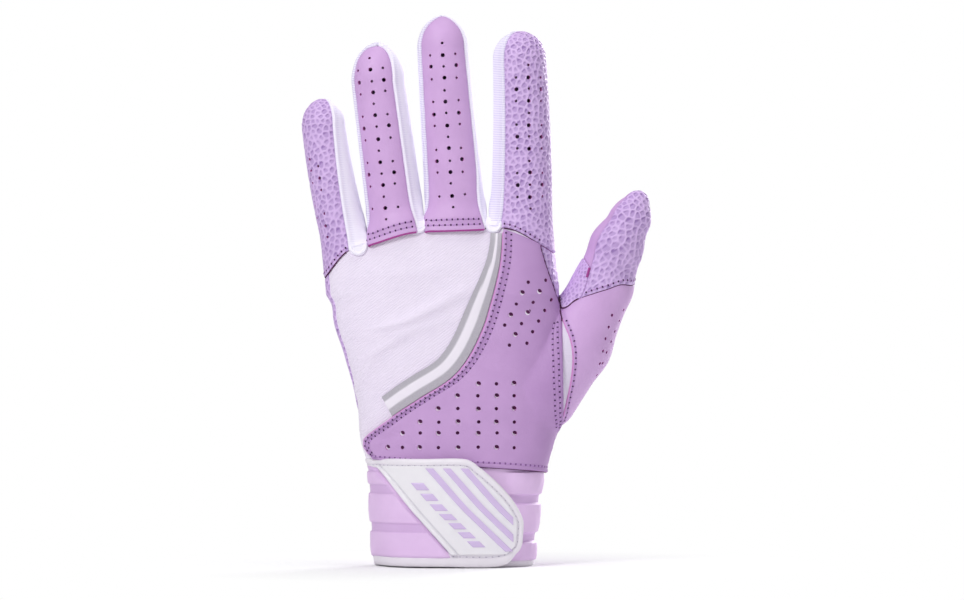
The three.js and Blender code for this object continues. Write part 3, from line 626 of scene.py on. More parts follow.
def shell(name, cut, thickness, height, materials, relief=0, tone=0, holes=()):
    """Closed skin of a cut piece: a worked outer face, a plain inner one, walls round edges and holes."""
    keep, moves = pierce(cut, holes)
    rows, columns = cut.u.shape
    lift = (cut.zero + height + relief)[..., None]
    sunk = (cut.zero + height - thickness)[..., None]
    cut.face = cut.points + cut.normals * lift
    outer, inner = cut.face + moves, cut.points + moves + cut.normals * sunk
    ids = np.arange(rows * columns).reshape(rows, columns)
    corner = (ids[:-1, :-1], ids[:-1, 1:], ids[1:, 1:], ids[1:, :-1])
    quads = np.stack([part[keep] for part in corner], 1)
    count = rows * columns
    sides = []
    padded = np.pad(keep, 1)
    beside = (padded[:-2, 1:-1], padded[1:-1, 2:], padded[2:, 1:-1], padded[1:-1, :-2])
    for k in range(4):
        open_edge = keep & ~beside[k]
        a, b = corner[k][open_edge], corner[(k + 1) % 4][open_edge]
        sides.append(np.stack([b, a, a + count, b + count], 1))
    walls = np.concatenate(sides)
    faces = np.concatenate([quads, quads[:, ::-1] + count, walls])
    marks = np.r_[np.zeros(2 * len(quads)), np.ones(len(walls))] * (len(materials) > 1)
    i, j = rows // 2, columns // 2
    facing = np.cross(cut.points[i, j + 1] - cut.points[i, j], cut.points[i + 1, j] - cut.points[i, j])
    if facing @ cut.normals[i, j] < 0:
        faces = faces[:, ::-1]
    used = np.unique(faces)
    renumber = np.zeros(2 * count, int)
    renumber[used] = np.arange(len(used))
    points = np.concatenate([outer.reshape(-1, 3), inner.reshape(-1, 3)])[used]
    tones = np.concatenate([(cut.zero + tone).ravel(), np.zeros(count)])[used]
    return make_mesh(name, points, renumber[faces].tolist(), materials, marks, tones)


def tube_faces(count, ring, start=0):
    """Faces of a closed tube through rings of points, with flat ends."""
    ids = start + np.arange(count * ring).reshape(count, ring)
    around = np.roll(ids, -1, 1)
    sides = np.stack([ids[:-1], around[:-1], around[1:], ids[1:]], -1).reshape(-1, 4)
    return sides.tolist() + [ids[0, ::-1].tolist(), ids[-1].tolist()]


class Tubes:
    """Many small closed tubes gathered into one mesh."""

    def __init__(self):
        self.points, self.faces, self.marks, self.count = [], [], [], 0

    def add(self, grid, mark):
        faces = tube_faces(*grid.shape[:2], self.count)
        self.points.append(grid.reshape(-1, 3))
        self.faces += faces
        self.marks += [mark] * len(faces)
        self.count += len(self.points[-1])

    def mesh(self, name, materials):
        return make_mesh(name, np.concatenate(self.points), self.faces, materials, self.marks)


def swept(name, grid, materials, tones=None):
    """Closed tube through a grid of sections, each a closed ring of points, with its faces outward."""
    faces = tube_faces(*grid.shape[:2])
    piece = make_mesh(name, grid.reshape(-1, 3), faces, materials, None, tones)
    corners = [corner.co for corner in piece.data.vertices]
    volume = sum(corners[a].dot(corners[b].cross(corners[c])) for a, b, c, *_ in faces)
    if volume < 0:
        piece.data.flip_normals()
    return piece


PEBBLE_TRIES = 14  # places tried for each cell's worth of leather
PEBBLE_SPACING = 0.86  # least distance between two cells, of their size


def pebbles(cut, size, seed):
    """Pebble grain: each point's distance from the ridge of its cell, its place in it and a random shade."""
    points = cut.points.reshape(-1, 3)
    random = np.random.default_rng(seed)
    order = random.permutation(len(points))[:int(PEBBLE_TRIES * cut.area / size ** 2)]
    cells, hearts = {}, []
    spacing = PEBBLE_SPACING * size
    for point in points[order]:
        key = tuple((point // spacing).astype(int))
        near = [hearts[k] for dx in (-1, 0, 1) for dy in (-1, 0, 1) for dz in (-1, 0, 1)
                for k in cells.get((key[0] + dx, key[1] + dy, key[2] + dz), ())]
        if near and (((np.array(near) - point) ** 2).sum(1) < spacing ** 2).any():
            continue
        cells.setdefault(key, []).append(len(hearts))
        hearts.append(point)
    tree = kdtree.KDTree(len(hearts))
    for k, heart in enumerate(hearts):
        tree.insert(heart, k)
    tree.balance()
    found = [tree.find_n(point, 2) for point in points]
    ridge = np.array([(pair[1][2] - pair[0][2]) / 2 for pair in found]).reshape(cut.u.shape)
    nearest = np.array([pair[0][1] for pair in found])
    offset = (points - np.array(hearts)[nearest]).reshape(cut.points.shape)
    return ridge, offset, random.random(len(hearts))[nearest].reshape(cut.u.shape)


PEBBLE_DEPTH = 0.34
PEBBLE_DOME = 0.14
PEBBLE_RIDGE = (0.2, 0.55)
PEBBLE_SHADE = (-0.55, 0, 0.83)  # the side of each cell that the light leaves dark


def pebbled(cut, size, seed):
    """Relief and tone of pebbled leather: sunk cells between paler ridges, darkened with painted shade."""
    ridge, offset, shade = pebbles(cut, size, seed)
    wide = 0.75 + 0.6 * shade
    sunk = smoothstep(ridge * wide, *PEBBLE_RIDGE)
    dome = smoothstep(ridge * wide, 0.5, 0.5 * size)
    # Painted shade: sunk cells are darkened, by a random amount per cell and most at the rim, the side that
    # the light leaves dark.
    rim = smoothstep(offset @ np.array(PEBBLE_SHADE), 0.1, 0.35 * size)
    return -PEBBLE_DEPTH * sunk + PEBBLE_DOME * dome, sunk * (0.3 + 0.2 * shade + 0.5 * rim)


CREASE_BEND = 0.06


def folds(points, creases):
    """Soft creases seen from the front, each a middle (x, z), direction, length, width and height."""
    total = np.zeros(points.shape[:2])
    for x, z, direction, length, width, height in creases:
        c, s = math.cos(math.radians(direction)), math.sin(math.radians(direction))
        along = (points[..., 0] - x) * c + (points[..., 2] - z) * s
        across = (points[..., 2] - z) * c - (points[..., 0] - x) * s
        bend = across - CREASE_BEND * along ** 2 / max(length, 1)
        total += height * np.exp(-(along / length) ** 2 - (bend / width) ** 2)
    return total


HOLE_RADIUS = 0.46  # of a needle hole, a small dark dome of painted shade
HOLE_LEVELS = ((1.0, -0.12), (1.0, 0.03), (0.45, 0.07))  # share of that radius, height
THREAD_RADIUS = 0.24
THREAD_RINGS = np.array((-1, -0.86, -0.5, 0, 0.5, 0.86, 1))
THREAD_SIDES = 6
THREAD_ARCH, THREAD_SINK = 0.16, 0.04
THREAD_HALF = 0.42  # half a thread's length, of the distance between two holes
THREAD_FLATNESS = 0.8


def stitches(name, rows, thread, hole, radius, pitch=2.25, lift=0.05):
    """Rows of stitches: short threads that dip at each end into a needle hole, a small dome painted in the
    hole's shade.
    """
    angles = np.arange(THREAD_SIDES) * 2 * np.pi / THREAD_SIDES
    across, up_round = np.cos(angles)[:, None], np.sin(angles)[:, None]
    fat = radius * np.sqrt(np.clip(1 - THREAD_RINGS ** 4, 0.02, 1))
    arch = (THREAD_ARCH * (1 - THREAD_RINGS ** 2) - THREAD_SINK)[:, None]
    tubes = Tubes()
    for line, normals in rows:
        run = np.r_[0, np.cumsum(np.linalg.norm(np.diff(line, axis=0), axis=1))]
        count = max(1, round(run[-1] / pitch))
        places = np.linspace(0, run[-1], count + 1)
        at = np.stack([np.interp(places, run, line[:, k]) for k in range(3)], 1)
        up = unit(np.stack([np.interp(places, run, normals[:, k]) for k in range(3)], 1))
        at = at + up * lift
        for k in range(count):
            middle, normal = (at[k] + at[k + 1]) / 2, unit(up[k] + up[k + 1])
            way = (at[k + 1] - at[k]) * THREAD_HALF
            side = unit(np.cross(unit(way), normal))
            spine = middle + THREAD_RINGS[:, None] * way + normal * arch
            turned = across * side + up_round * normal * THREAD_FLATNESS
            tubes.add(spine[:, None] + turned[None] * fat[:, None, None], 0)
        for k in range(count + 1):
            way = unit(at[min(k + 1, count)] - at[max(k - 1, 0)])
            side = unit(np.cross(way, up[k]))
            turned = across * side + up_round * way
            tubes.add(np.stack([at[k] + turned * HOLE_RADIUS * r + up[k] * h for r, h in HOLE_LEVELS]), 1)
    return tubes.mesh(name, [thread, hole])


def cord(name, line, normals, radius, material, lift=0.0):
    """Thin round cord laid along a path: a raw edge, a rolled lip or a dark line of painted shadow in a seam.
    """
    turns = np.arange(6) * np.pi / 3
    side = unit(np.cross(unit(np.gradient(line, axis=0)), normals))
    ring = np.cos(turns)[None, :, None] * side[:, None] + np.sin(turns)[None, :, None] * normals[:, None]
    return swept(name, (line + normals * lift)[:, None] + radius * ring, [material])


# Materials


def srgb(red, green, blue):
    """Linear colour of an sRGB colour given from 0 to 255."""
    channel = np.array((red, green, blue)) / 255
    linear = np.where(channel <= 0.04045, channel / 12.92, ((channel + 0.055) / 1.055) ** 2.4)
    return (*linear.tolist(), 1.0)


class Shader:
    """A Principled material whose nodes are added by name."""

    def __init__(self, name, roughness, specular=0.5, sheen=0.0):
        self.material = bpy.data.materials.new(name)
        self.material.use_nodes = True
        self.tree = self.material.node_tree
        self.bsdf = self.tree.nodes["Principled BSDF"]
        self.bsdf.inputs["Roughness"].default_value = roughness
        self.bsdf.inputs["Specular IOR Level"].default_value = specular
        if sheen:
            self.bsdf.inputs["Sheen Weight"].default_value = sheen
            self.bsdf.inputs["Sheen Roughness"].default_value = 0.5
        self.place = self.node("ShaderNodeTexCoord").outputs["Object"]

    def put(self, value, socket):
        """Links another node's output to a socket, or sets a constant on it."""
        if isinstance(value, bpy.types.NodeSocket):
            self.tree.links.new(value, socket)
        else:
            socket.default_value = value

    def node(self, kind, **inputs):
        made = self.tree.nodes.new(kind)
        for key, value in inputs.items():
            self.put(value, made.inputs[key.replace("_", " ")])
        return made

    def mix(self, factor, a, b):
        """Mix of two colours, each another node's output or sRGB values from 0 to 255."""
        made = self.node("ShaderNodeMix")
        made.data_type = "RGBA"
        for place, value in ((0, factor), (6, a), (7, b)):
            self.put(srgb(*value) if isinstance(value, tuple) else value, made.inputs[place])
        return made.outputs[2]

    def noise(self, size, detail=2.0):
        """Soft noise whose blotches are about size millimetres wide."""
        made = self.node("ShaderNodeTexNoise", Vector=self.place, Scale=1 / (size * MM), Detail=detail)
        return made.outputs["Fac"]

    def cells(self, size):
        made = self.node("ShaderNodeTexVoronoi", Vector=self.place, Scale=1 / (size * MM))
        return made.outputs["Distance"]

    def weave(self, pitch, across):
        """Fine ridges pitch millimetres apart, counted in one direction."""
        along = self.node("ShaderNodeVectorMath")
        along.operation = "DOT_PRODUCT"
        self.put(self.place, along.inputs[0])
        self.put(across, along.inputs[1])
        spot = self.node("ShaderNodeCombineXYZ", X=along.outputs["Value"])
        made = self.node("ShaderNodeTexWave", Vector=spot.outputs["Vector"],
                         Scale=2 * math.pi / (20 * pitch * MM), Distortion=0.4, Detail=1.0)
        made.bands_direction = "X"
        return made.outputs["Fac"]

    def tone(self):
        made = self.node("ShaderNodeAttribute")
        made.attribute_name = "tone"
        return made.outputs["Fac"]

    def colour(self, value):
        self.put(value, self.bsdf.inputs["Base Color"])

    def bump(self, *layers):
        """Bump from (height, depth in millimetres) layers."""
        normal = None
        for height, depth in layers:
            made = self.node("ShaderNodeBump", Height=height, Distance=depth * MM, Strength=1.0)
            if normal is not None:
                self.put(normal, made.inputs["Normal"])
            normal = made.outputs["Normal"]
        self.put(normal, self.bsdf.inputs["Normal"])

    def rough(self, factor, low, high):
        made = self.node("ShaderNodeMapRange", Value=factor, To_Min=low, To_Max=high)
        self.put(made.outputs["Result"], self.bsdf.inputs["Roughness"])


def toned(shader, light, dark, spread=0.18, size=9.0):
    """Colour from a piece's tone, with a faint drift over the surface."""
    base = shader.mix(shader.tone(), light, dark)
    drift = shader.node("ShaderNodeMapRange", Value=shader.noise(size), From_Min=0.35, From_Max=0.65,
                        To_Max=spread).outputs["Result"]
    return shader.mix(drift, base, shader.mix(0.5, base, dark))


def leather(name, light, dark, grain=0.8):
    shader = Shader(name, 0.5, specular=0.38)
    shader.colour(toned(shader, light, dark))
    shader.rough(shader.noise(2.5), 0.42, 0.6)
    shader.bump((shader.cells(grain), 0.035), (shader.noise(0.35, 3.0), 0.03), (shader.noise(5.0), 0.12))
    return shader.material


def fabric(name, light, dark, pitch, across, depth, sheen=0.25):
    shader = Shader(name, 0.8, specular=0.25, sheen=sheen)
    weave = shader.weave(pitch, across)
    shader.colour(shader.mix(weave, toned(shader, light, dark, 0.25, 6.0), light))
    shader.bump((weave, depth), (shader.noise(0.4, 2.0), 0.05))
    return shader.material


def moulded(name, light, dark, roughness=0.42):
    shader = Shader(name, roughness, specular=0.45)
    shader.colour(toned(shader, light, dark, 0.12, 5.0))
    shader.bump((shader.noise(0.3, 2.0), 0.012))
    return shader.material


def thread_material(name, light, dark):
    shader = Shader(name, 0.6, specular=0.3)
    shader.colour(shader.mix(shader.weave(0.35, (0.58, 0.58, 0.58)), light, dark))
    return shader.material


def plain_dark(name, light, dark):
    shader = Shader(name, 0.75, specular=0.2)
    shader.colour(shader.mix(shader.noise(0.5), light, dark))
    return shader.material


SMOOTH = leather("smooth_leather", (208, 169, 219), (146, 104, 164))
PEBBLED = leather("pebbled_leather", (216, 186, 234), (146, 112, 176), 0.5)
PADDED = leather("padded_leather", (230, 198, 238), (176, 138, 192), 0.45)
TWILL = (-0.6, 0, 0.8)
KNUCKLE = fabric("stretch_fabric", (236, 226, 243), (204, 193, 223), 0.95, TWILL, 0.07)
KNIT = fabric("fourchette_fabric", (247, 243, 255), (212, 204, 233), 0.7, (0, 0, 1), 0.03, 0.1)
# The gusset's knit is a darker copy of the fourchette knit.
GUSSET_KNIT = fabric("gusset_fabric", (224, 215, 234), (208, 198, 221), 0.7, (0, 0, 1), 0.03, 0.1)
LINED = fabric("lining_fabric", (226, 220, 236), (190, 182, 206), 0.9, (0, 0, 1), 0.06)
TAPE = moulded("binding_tape", (236, 231, 238), (184, 176, 192), 0.5)
RUBBER = moulded("tab_rubber", (238, 236, 240), (182, 176, 190))
LILAC = moulded("stripe_rubber", (213, 192, 230), (168, 140, 196))
RAW_EDGE = plain_dark("raw_leather_edge", (206, 130, 196), (166, 84, 150))
# Needle holes: small domes painted in the holes' shade.
STITCH_HOLE_SHADE = plain_dark("stitch_hole_shade", (84, 50, 96), (60, 30, 70))
PALE_STITCH_HOLE_SHADE = plain_dark("pale_stitch_hole", (142, 102, 158), (118, 80, 134))
# Painted shadow: dark cords in the gaps along seams and hems, and the shade inside holes.
SEAM_SHADOW = plain_dark("seam_shadow", (92, 40, 84), (64, 24, 58))
MAGENTA = plain_dark("cut_edge", (178, 84, 160), (146, 54, 128))
PINK = plain_dark("pale_cut_edge", (224, 160, 218), (200, 128, 196))
THREAD = thread_material("lavender_thread", (206, 166, 220), (170, 126, 188))
WHITE_THREAD = thread_material("white_thread", (232, 227, 236), (202, 196, 208))
WHITE_STITCH_HOLE_SHADE = plain_dark("white_stitch_hole", (196, 188, 204), (168, 160, 178))
HOOKS = fabric("hook_and_loop", (226, 220, 232), (176, 168, 188), 0.8, (1, 0, 0), 0.25)


def film():
    """Silver transfer film with a white core, by its tone."""
    shader = Shader("trim_film", 0.38, specular=0.5)
    shine = shader.mix(shader.noise(0.5), (190, 186, 194), (168, 163, 174))
    shader.colour(shader.mix(shader.tone(), (238, 232, 242), shine))
    shader.bump((shader.noise(0.6), 0.02))
    return shader.material


SILVER = film()


# Placing pieces on bodies

BEND_START = {"pinky": (-53.6, 127.4), "ring": (-31.6, 134.6), "middle": (-8, 136.2), "index": (17.3, 136.2)}


def framed(point):
    return tuple((np.array(point, float) + SHIFT) * MM)


def set_body(piece, body):
    """Parents a piece to its body's empty, or, on the fingers, thumb and strap, bakes its transform into its
    mesh.
    """
    if body in BEND_START:
        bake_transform(piece)
    elif body == "thumb":
        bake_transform(piece)
    elif body == "strap":
        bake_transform(piece)
    else:
        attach(piece, body)


def dress(piece, body, node=None):
    """Puts a piece on its body and hides the imported part that it stands for."""
    set_body(piece, body)
    if node:
        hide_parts(node)


def sew(name, body, slot, rows, hole=STITCH_HOLE_SHADE, radius=THREAD_RADIUS):
    dress(stitches(name, rows, THREAD, hole, radius), body)


def lay_cord(name, body, slot, path, radius, material, lift=0.0):
    dress(cord(name, *path, radius, material, lift), body)


def make_pebbled(name, node, body, cut, size, seed, height, plain=1.0, hem=None, roll=(0.9, 0.5), holes=()):
    """Pebbled leather, plain beside its edges and, where it has one, along its sewn hem."""
    grain, tone = pebbled(cut, size, seed)
    relief = grain * smoothstep(cut.edge("lrt" if hem else "lrbt"), 0.2, plain)
    if hem:
        relief = relief * smoothstep(cut.bottom, *hem)
    relief = relief + cut.rolled(*roll)
    piece = shell(name, cut, LEATHER, height, [PEBBLED, RAW_EDGE], relief, tone, holes)
    dress(piece, body, node)


def always(value):
    """A seam at one angle, or an edge at one rise."""
    return lambda at: value + 0 * at


def raised(thickness):
    return thickness + LAYER_GAP


# Hand

PANEL_FOOT = CUFF_HEIGHT + SEAM_GAP / 4
overlay_edge, _ = curve([(x, CUFF_HEIGHT + PALM_LENGTH * share) for x, share in OVERLAY_EDGE])
EDGE_X, EDGE_Z = overlay_edge(np.linspace(0, 1, 200))[0].T

# Creases seen from the front: middle (x, z), direction in degrees, length, width and height
BACK_CREASES = (
    (-32, 96.6, 14, 9, 1.3, 1.2), (-28, 94, 12, 18, 2.6, 0.8), (-22, 101, 20, 15, 2.2, 1.1),
    (-36, 88, 30, 10, 2.0, 1.1), (-14, 106, 26, 14, 2.8, 0.8), (-44, 78, 62, 12, 2.0, 0.9),
    (-28, 117, 5, 20, 4, 0.6))
OVERLAY_CREASES = (
    (-34, 52, 28, 9, 2.0, -0.5), (-38, 57, 40, 8, 1.6, 0.4), (24, 58, 80, 12, 4, 0.5),
    (22, 104, 70, 14, 5, -0.5), (4, 62, 20, 18, 6, 0.4))
BAND_CREASES = ((-30, 95, 12, 16, 2.6, 0.4),)


def hand_panel(start, finish):
    """Place on the hand between two seams, each an angle for every share of the palm's length."""
    def place(u, v):
        def ray(z, across=u):
            return on_hand(lerp(start(palm_share(z)), finish(palm_share(z)), across), z)
        top = meet_base(lambda z: ray(z, u[0]), u[0])
        return ray(lerp(PANEL_FOOT, top[None], v))
    return place


def overlay_place(u, v):
    start, _ = overlay_edge(v[:, 0])
    top = meet_base(lambda z: on_hand(seam_right(palm_share(z)), z), np.zeros(1))[0]
    foot = CUFF_HEIGHT + PALM_LENGTH * OVERLAY_FOOT
    end_z = lerp(foot - OVERLAY_SKIRT, top, v)
    angle = lerp(back_angle(start[:, :1], start[:, 1:]), seam_right(palm_share(end_z)), u)
    return on_hand(angle, lerp(start[:, 1:], end_z, u))


def band_place(u, v):
    place, way = overlay_edge(lerp(*BAND_SPAN, v))
    out = BAND_OFFSET + BAND_WIDTH * (1 - BAND_TAPER * smoothstep(v, 0.55, 1)) * u
    x, z = place[..., 0] - way[..., 1] * out, place[..., 1] + way[..., 0] * out
    return on_hand(back_angle(x, z), z)


GRID_COLUMNS = (-40, -34.8, -29.2, -22.4, -15.2, -7.6, 0.4, 7.6, 14.4)
GRID_ROWS = (48, 53.6, 58, 63.2, 68.4, 73.2)
GRID_MARGIN = 5.6
LATTICE = ((20.2, 113.5, 0, 5), (26.9, 114.2, 0, 7), (33.6, 115.2, 2, 7))
LATTICE_STEP = (-2.36, -4.32)
FILL_LEVEL = 0.62  # of the fabric that shows in a hole, out from the hand's form
FILL_MARGIN = 0.12
FILL_THICKNESS = 0.06
SHADE_LIFT = 0.07
SHADE_SHIFT = (-0.35, 0.55)  # of the shade under a hole's upper edge, in radii


def overlay_holes():
    """Grid over the wrist and a slanting lattice below the index finger, clear of the sewn edge."""
    holes = []
    for i, z in enumerate(GRID_ROWS):
        for j, x in enumerate(GRID_COLUMNS):
            clear = np.hypot(EDGE_X - x, EDGE_Z - z).min() > GRID_MARGIN
            if clear and x > np.interp(z, EDGE_Z, EDGE_X):
                holes.append(((x, z), OVERLAY_HOLES[(i + j) % 2]))
    for k, (x, z, first, last) in enumerate(LATTICE):
        for row in range(first, last):
            spot = (x + LATTICE_STEP[0] * row, z + LATTICE_STEP[1] * row)
            holes.append((spot, OVERLAY_HOLES[row % 2 if k < 2 else 0]))
    return holes


def hole_fills(cut, holes):
    """What shows in each hole: fabric with the upper edge's shade on it, or shade alone in the small ones."""
    turns = np.arange(14) * np.pi / 7
    discs = Tubes()
    for (x, z), radius in holes:
        heart, normal = cut.nearest(x, z)
        side = unit(np.cross(normal, (0.0, 0.0, 1.0)))
        up = np.cross(side, normal)
        flat = np.cos(turns)[:, None] * side + np.sin(turns)[:, None] * up

        def disc(level, wide, shift, mark):
            rim = heart + normal * level + (side * shift[0] + up * shift[1]) * wide + flat * wide
            discs.add(np.stack([rim - normal * FILL_THICKNESS, rim]), mark)

        large = radius > OVERLAY_HOLES[0]
        disc(FILL_LEVEL, radius + FILL_MARGIN, (0, 0), 0 if large else 1)
        if large:
            disc(FILL_LEVEL + SHADE_LIFT, radius, SHADE_SHIFT, 1)
    return discs.mesh("overlay_hole_fills", [KNUCKLE, SEAM_SHADOW])


SLIT_FADE, SLIT_SPAN = 0.7, 1.2  # millimetres in from the edge, and to both sides of the thumb's seam


def close_slit(cut, gap, reach):
    """Draws a sewn edge beside the thumb opening up to the edge across the seam."""
    near = np.exp(-gap / SLIT_FADE) * (np.abs(cut.points[..., 0] - THUMB_SEAM_X) < SLIT_SPAN)
    cut.points[..., 0] += reach * near


def seam_pucker(cut, sides, wave=4.2, depth=0.16):
    """Slight gathers beside sewn edges."""
    near = np.exp(-cut.edge(sides) / 2.2)
    run = cut.u * cut.size[0] + cut.v * cut.size[1]
    return -depth * near * (1 + 0.8 * np.sin(run * 2 * np.pi / wave) * np.sin(run * 0.61))


def make_hand():
    cut = Cut(hand_panel(seam_left, seam_right), 34, 36, 0.9)
    x, z = cut.points[..., 0], cut.points[..., 2]
    under = smoothstep(x - np.interp(z, EDGE_Z, EDGE_X), 2, 5)
    relief = lerp(folds(cut.points, BACK_CREASES), BACK_SINK, under)
    back = shell("back_panel", cut, STRETCH, -BACK_SINK, [KNUCKLE], relief)
    dress(back, "hand", "back_stretch_panel")

    cut = Cut(overlay_place, 40, 34, 0.45)
    z = cut.points[..., 2]
    beside_thumb = smoothstep(z, *FOLD_START) * (1 - smoothstep(z, *FOLD_END))
    cut.points[..., 0] += OVERLAY_FOLD * np.exp(-cut.right / 5) * beside_thumb
    sewn = np.exp(-((cut.left - 2.35) / 1.3) ** 2)
    relief = cut.rolled(0.9, 0.5) + folds(cut.points, OVERLAY_CREASES) - 0.28 * sewn + seam_pucker(cut, "lr")
    # The tone is painted shade: along the sewn groove, beside the edges and towards the right, where the
    # overlay turns from the light.
    tone = 0.2 + 0.35 * sewn + 0.2 * np.exp(-cut.edge("rbt") / 1.2)
    tone = tone + 0.3 * smoothstep(cut.points[..., 0], 5, 32)
    skirt = raised(OVERLAY) + 0.2 * (1 - smoothstep(cut.bottom, 0.5, 4))
    holes = overlay_holes()
    overlay = shell("back_overlay", cut, OVERLAY, skirt, [SMOOTH, RAW_EDGE], relief, tone, holes)
    dress(overlay, "hand", "back_leather_overlay")
    dress(hole_fills(cut, holes), "hand")
    sewn_on = ("hand", "smooth_leather")
    sew("overlay_stitches", *sewn_on, [
        cut.path("l", 1.3, 0.02, 0.99), cut.path("l", 3.5, 0.03, 0.99),
        cut.path("r", 1.4, 0.2, 0.66), cut.path("r", 3.2, 0.2, 0.66)])
    sew("overlay_hem_stitches", *sewn_on, [cut.path("b", 2.2, 0.02, 0.98)], PALE_STITCH_HOLE_SHADE, 0.2)
    lay_cord("overlay_edge_line", *sewn_on, cut.path("l", 0.05, 0.02, 0.99), 0.3, PINK, -0.1)
    # Dark cords of painted shadow in the gaps at the overlay's side seam and under its hem.
    lay_cord("overlay_side_seam_shadow", *sewn_on, cut.path("r", 0.05, 0.66, 0.995), 0.3, SEAM_SHADOW)
    lay_cord("overlay_hem_gap_shadow", *sewn_on, cut.path("b", 0.05, 0.5, 0.985), 0.3, SEAM_SHADOW, -0.7)

    cut = Cut(band_place, 40, 6, 0.7)
    core = smoothstep(cut.left / (cut.left + cut.right), 0.3, 0.33) * smoothstep(cut.right, 2, 2.3)
    band = shell("knuckle_band", cut, FILM, raised(FILM) - BACK_SINK + 0.15, [SILVER],
                 relief=0.12 * core + folds(cut.points, BAND_CREASES), tone=1 - core)
    dress(band, "hand", "knuckle_trim_band")

    cut = Cut(hand_panel(lambda s: seam_right(s) + PALM_STEP, lambda s: 360 + seam_left(s)), 34, 40, 0.5)
    close_slit(cut, cut.left, 0.3)
    make_pebbled("palm_leather", "palm_panel", "hand", cut, 2.3, 11, 0, 1.2, roll=(1.0, 0.6))

    def gusset_place(u, v):
        width = GUSSET["edge"] + GUSSET["bulge"] * np.sin(np.pi * u)
        return on_thumb(lerp(GUSSET["start"], GUSSET["end"], u), width * v)

    cut = Cut(gusset_place, 8, 30, 0.6)
    close_slit(cut, cut.bottom, -0.5)
    gusset = shell("thumb_gusset_fabric", cut, STRETCH, -0.3, [GUSSET_KNIT])
    dress(gusset, "thumb", "thumb_gusset")


# Fingers


def finger_holes(name):
    spec = FINGER_HOLES[name]
    head, foot = np.array(spec["head"]), np.array(spec["foot"])
    along = unit(foot - head)
    across = np.array((-along[1], along[0]))
    holes = []
    for row in range(spec["rows"]):
        spot = lerp(head, foot, row / (spec["rows"] - 1))
        holes.append((tuple(spot), BIG_HOLE if row % 2 else SMALL_HOLE))
        if row % 4 and row < spec["rows"] - 1:
            for side in (-1, 1):
                beside = tuple(spot + across * side * HOLE_COLUMN)
                holes.append((beside, BIG_HOLE if row % 4 == 2 else SMALL_HOLE))
    return holes


PINKY_HOLES = [((-63.2 + 0.6 * k, 159.6 - 4.7 * k), SMALL_HOLE + 0.12 * (k % 2)) for k in (0, 1, 2, 4, 5, 6)]
PINKY_HOLES += [((-66.6 + 0.55 * k, 162.6 - 4.7 * k), SMALL_HOLE) for k in (0, 1, 2, 4, 5, 6)]
FLAT_LIFT = 0.35  # a finger's back lies this far above its stall, more where it laps the knuckle edge


def tip_tilt(rise):
    return TIP_POLE * np.maximum(0, (rise - TIP_SHARE) / (1 - TIP_SHARE))


def back_seam(seams, key):
    """Angle for every rise along one side of a back panel, from knuckle corner to broad round nose."""
    def angle(rise):
        seam = lerp(np.clip(seams[key], *BASE_CORNERS), seams[key], smoothstep(rise, 0, 0.25))
        return seam * np.sqrt(1 - np.clip(tip_tilt(rise) / seams["nose"], 0, 1) ** seams["roundness"])
    return angle


def stall_strip(name, start, finish, end=1.0, drop=0):
    """Place on a stall between two seam lines, each an angle for every rise."""
    def place(u, v):
        rise = v * end
        return on_stall(name, lerp(start(rise), finish(rise), u), rise, drop)
    return place


def bead(gap, width, height):
    """Rolled lip beside an edge."""
    return height * np.exp(-((gap - width) / width) ** 2)


LIT_SIDE_PAINTED_SHADE = 0.8  # painted shade: the strips that face the key light are made a shade deeper


def make_fourchette(node, finger, start, finish, bead_side):
    cut = Cut(stall_strip(finger, start, finish), 44, 10, 0.7)
    gap = cut.left if bead_side == "l" else cut.right
    lip = bead(np.minimum(gap, cut.bottom), 0.8, 0.75) * np.minimum(1, (cut.left + cut.right) / 6)
    # The tone is painted shade: a band beside the rolled lip, and the edges.
    tone = 0.5 * np.exp(-((gap - 2.4) / 0.7) ** 2) + 0.3 * np.exp(-cut.edge() / 0.5)
    tone = tone + (LIT_SIDE_PAINTED_SHADE if bead_side == "r" else 0)
    piece = shell(node + "_knit", cut, STRETCH, -0.15, [KNIT], lip + cut.rolled(0.7, 0.4), tone)
    dress(piece, finger, node)


def make_back(finger, seams):
    end = TIP_SHARE + (1 - TIP_SHARE) * 0.997 * seams["nose"] / TIP_POLE
    sides = back_seam(seams, "back_left"), back_seam(seams, "back_right")
    cut = Cut(stall_strip(finger, *sides, end, LAP - 0.6), 70, 14, 0.45)
    lift = lerp(raised(LEATHER), FLAT_LIFT, smoothstep(cut.bottom, 3, 12))
    sewn = np.exp(-((cut.bottom - 3.4) / 1.6) ** 2)
    relief = lift - 0.25 * sewn + cut.rolled(1.0, 0.55) + seam_pucker(cut, "lr", 5, 0.1)
    # The tone is painted shade along the sewn groove by the knuckle and beside the side edges.
    tone = 0.2 * sewn + 0.25 * np.exp(-cut.edge("lr") / 1.0)
    piece = shell(finger + "_back_leather", cut, LEATHER - 0.2, lift, [SMOOTH, RAW_EDGE], relief - lift, tone,
                  finger_holes(finger))
    dress(piece, finger, finger + "_back")
    rows = [cut.path("b", offset, 0.06, 0.94) for offset in (2.3, 4.5)]
    sew(finger + "_knuckle_stitches", finger, "smooth_leather", rows)
    edge = cut.path("b", 0.1, 0.02, 0.98)
    lay_cord(finger + "_knuckle_edge", finger, "smooth_leather", edge, 0.5, MAGENTA, -0.3)


def make_wrap(node, finger, start, finish, holes, seed, stitch_span):
    cut = Cut(stall_strip(finger, start, finish), 54, 34, 0.36)
    make_pebbled(node + "_leather", node, finger, cut, 2.15, seed, 0.25, hem=(2.0, 3.2), roll=(1.0, 0.55),
                 holes=holes)
    sew(node + "_stitches", finger, "pebbled_leather", [cut.path("b", 1.6, *stitch_span)])
    # A dark cord of painted shadow along the seam.
    lay_cord(node + "_seam", finger, "pebbled_leather", cut.path("b", 0, *stitch_span), 0.32, SEAM_SHADOW, 0.05)


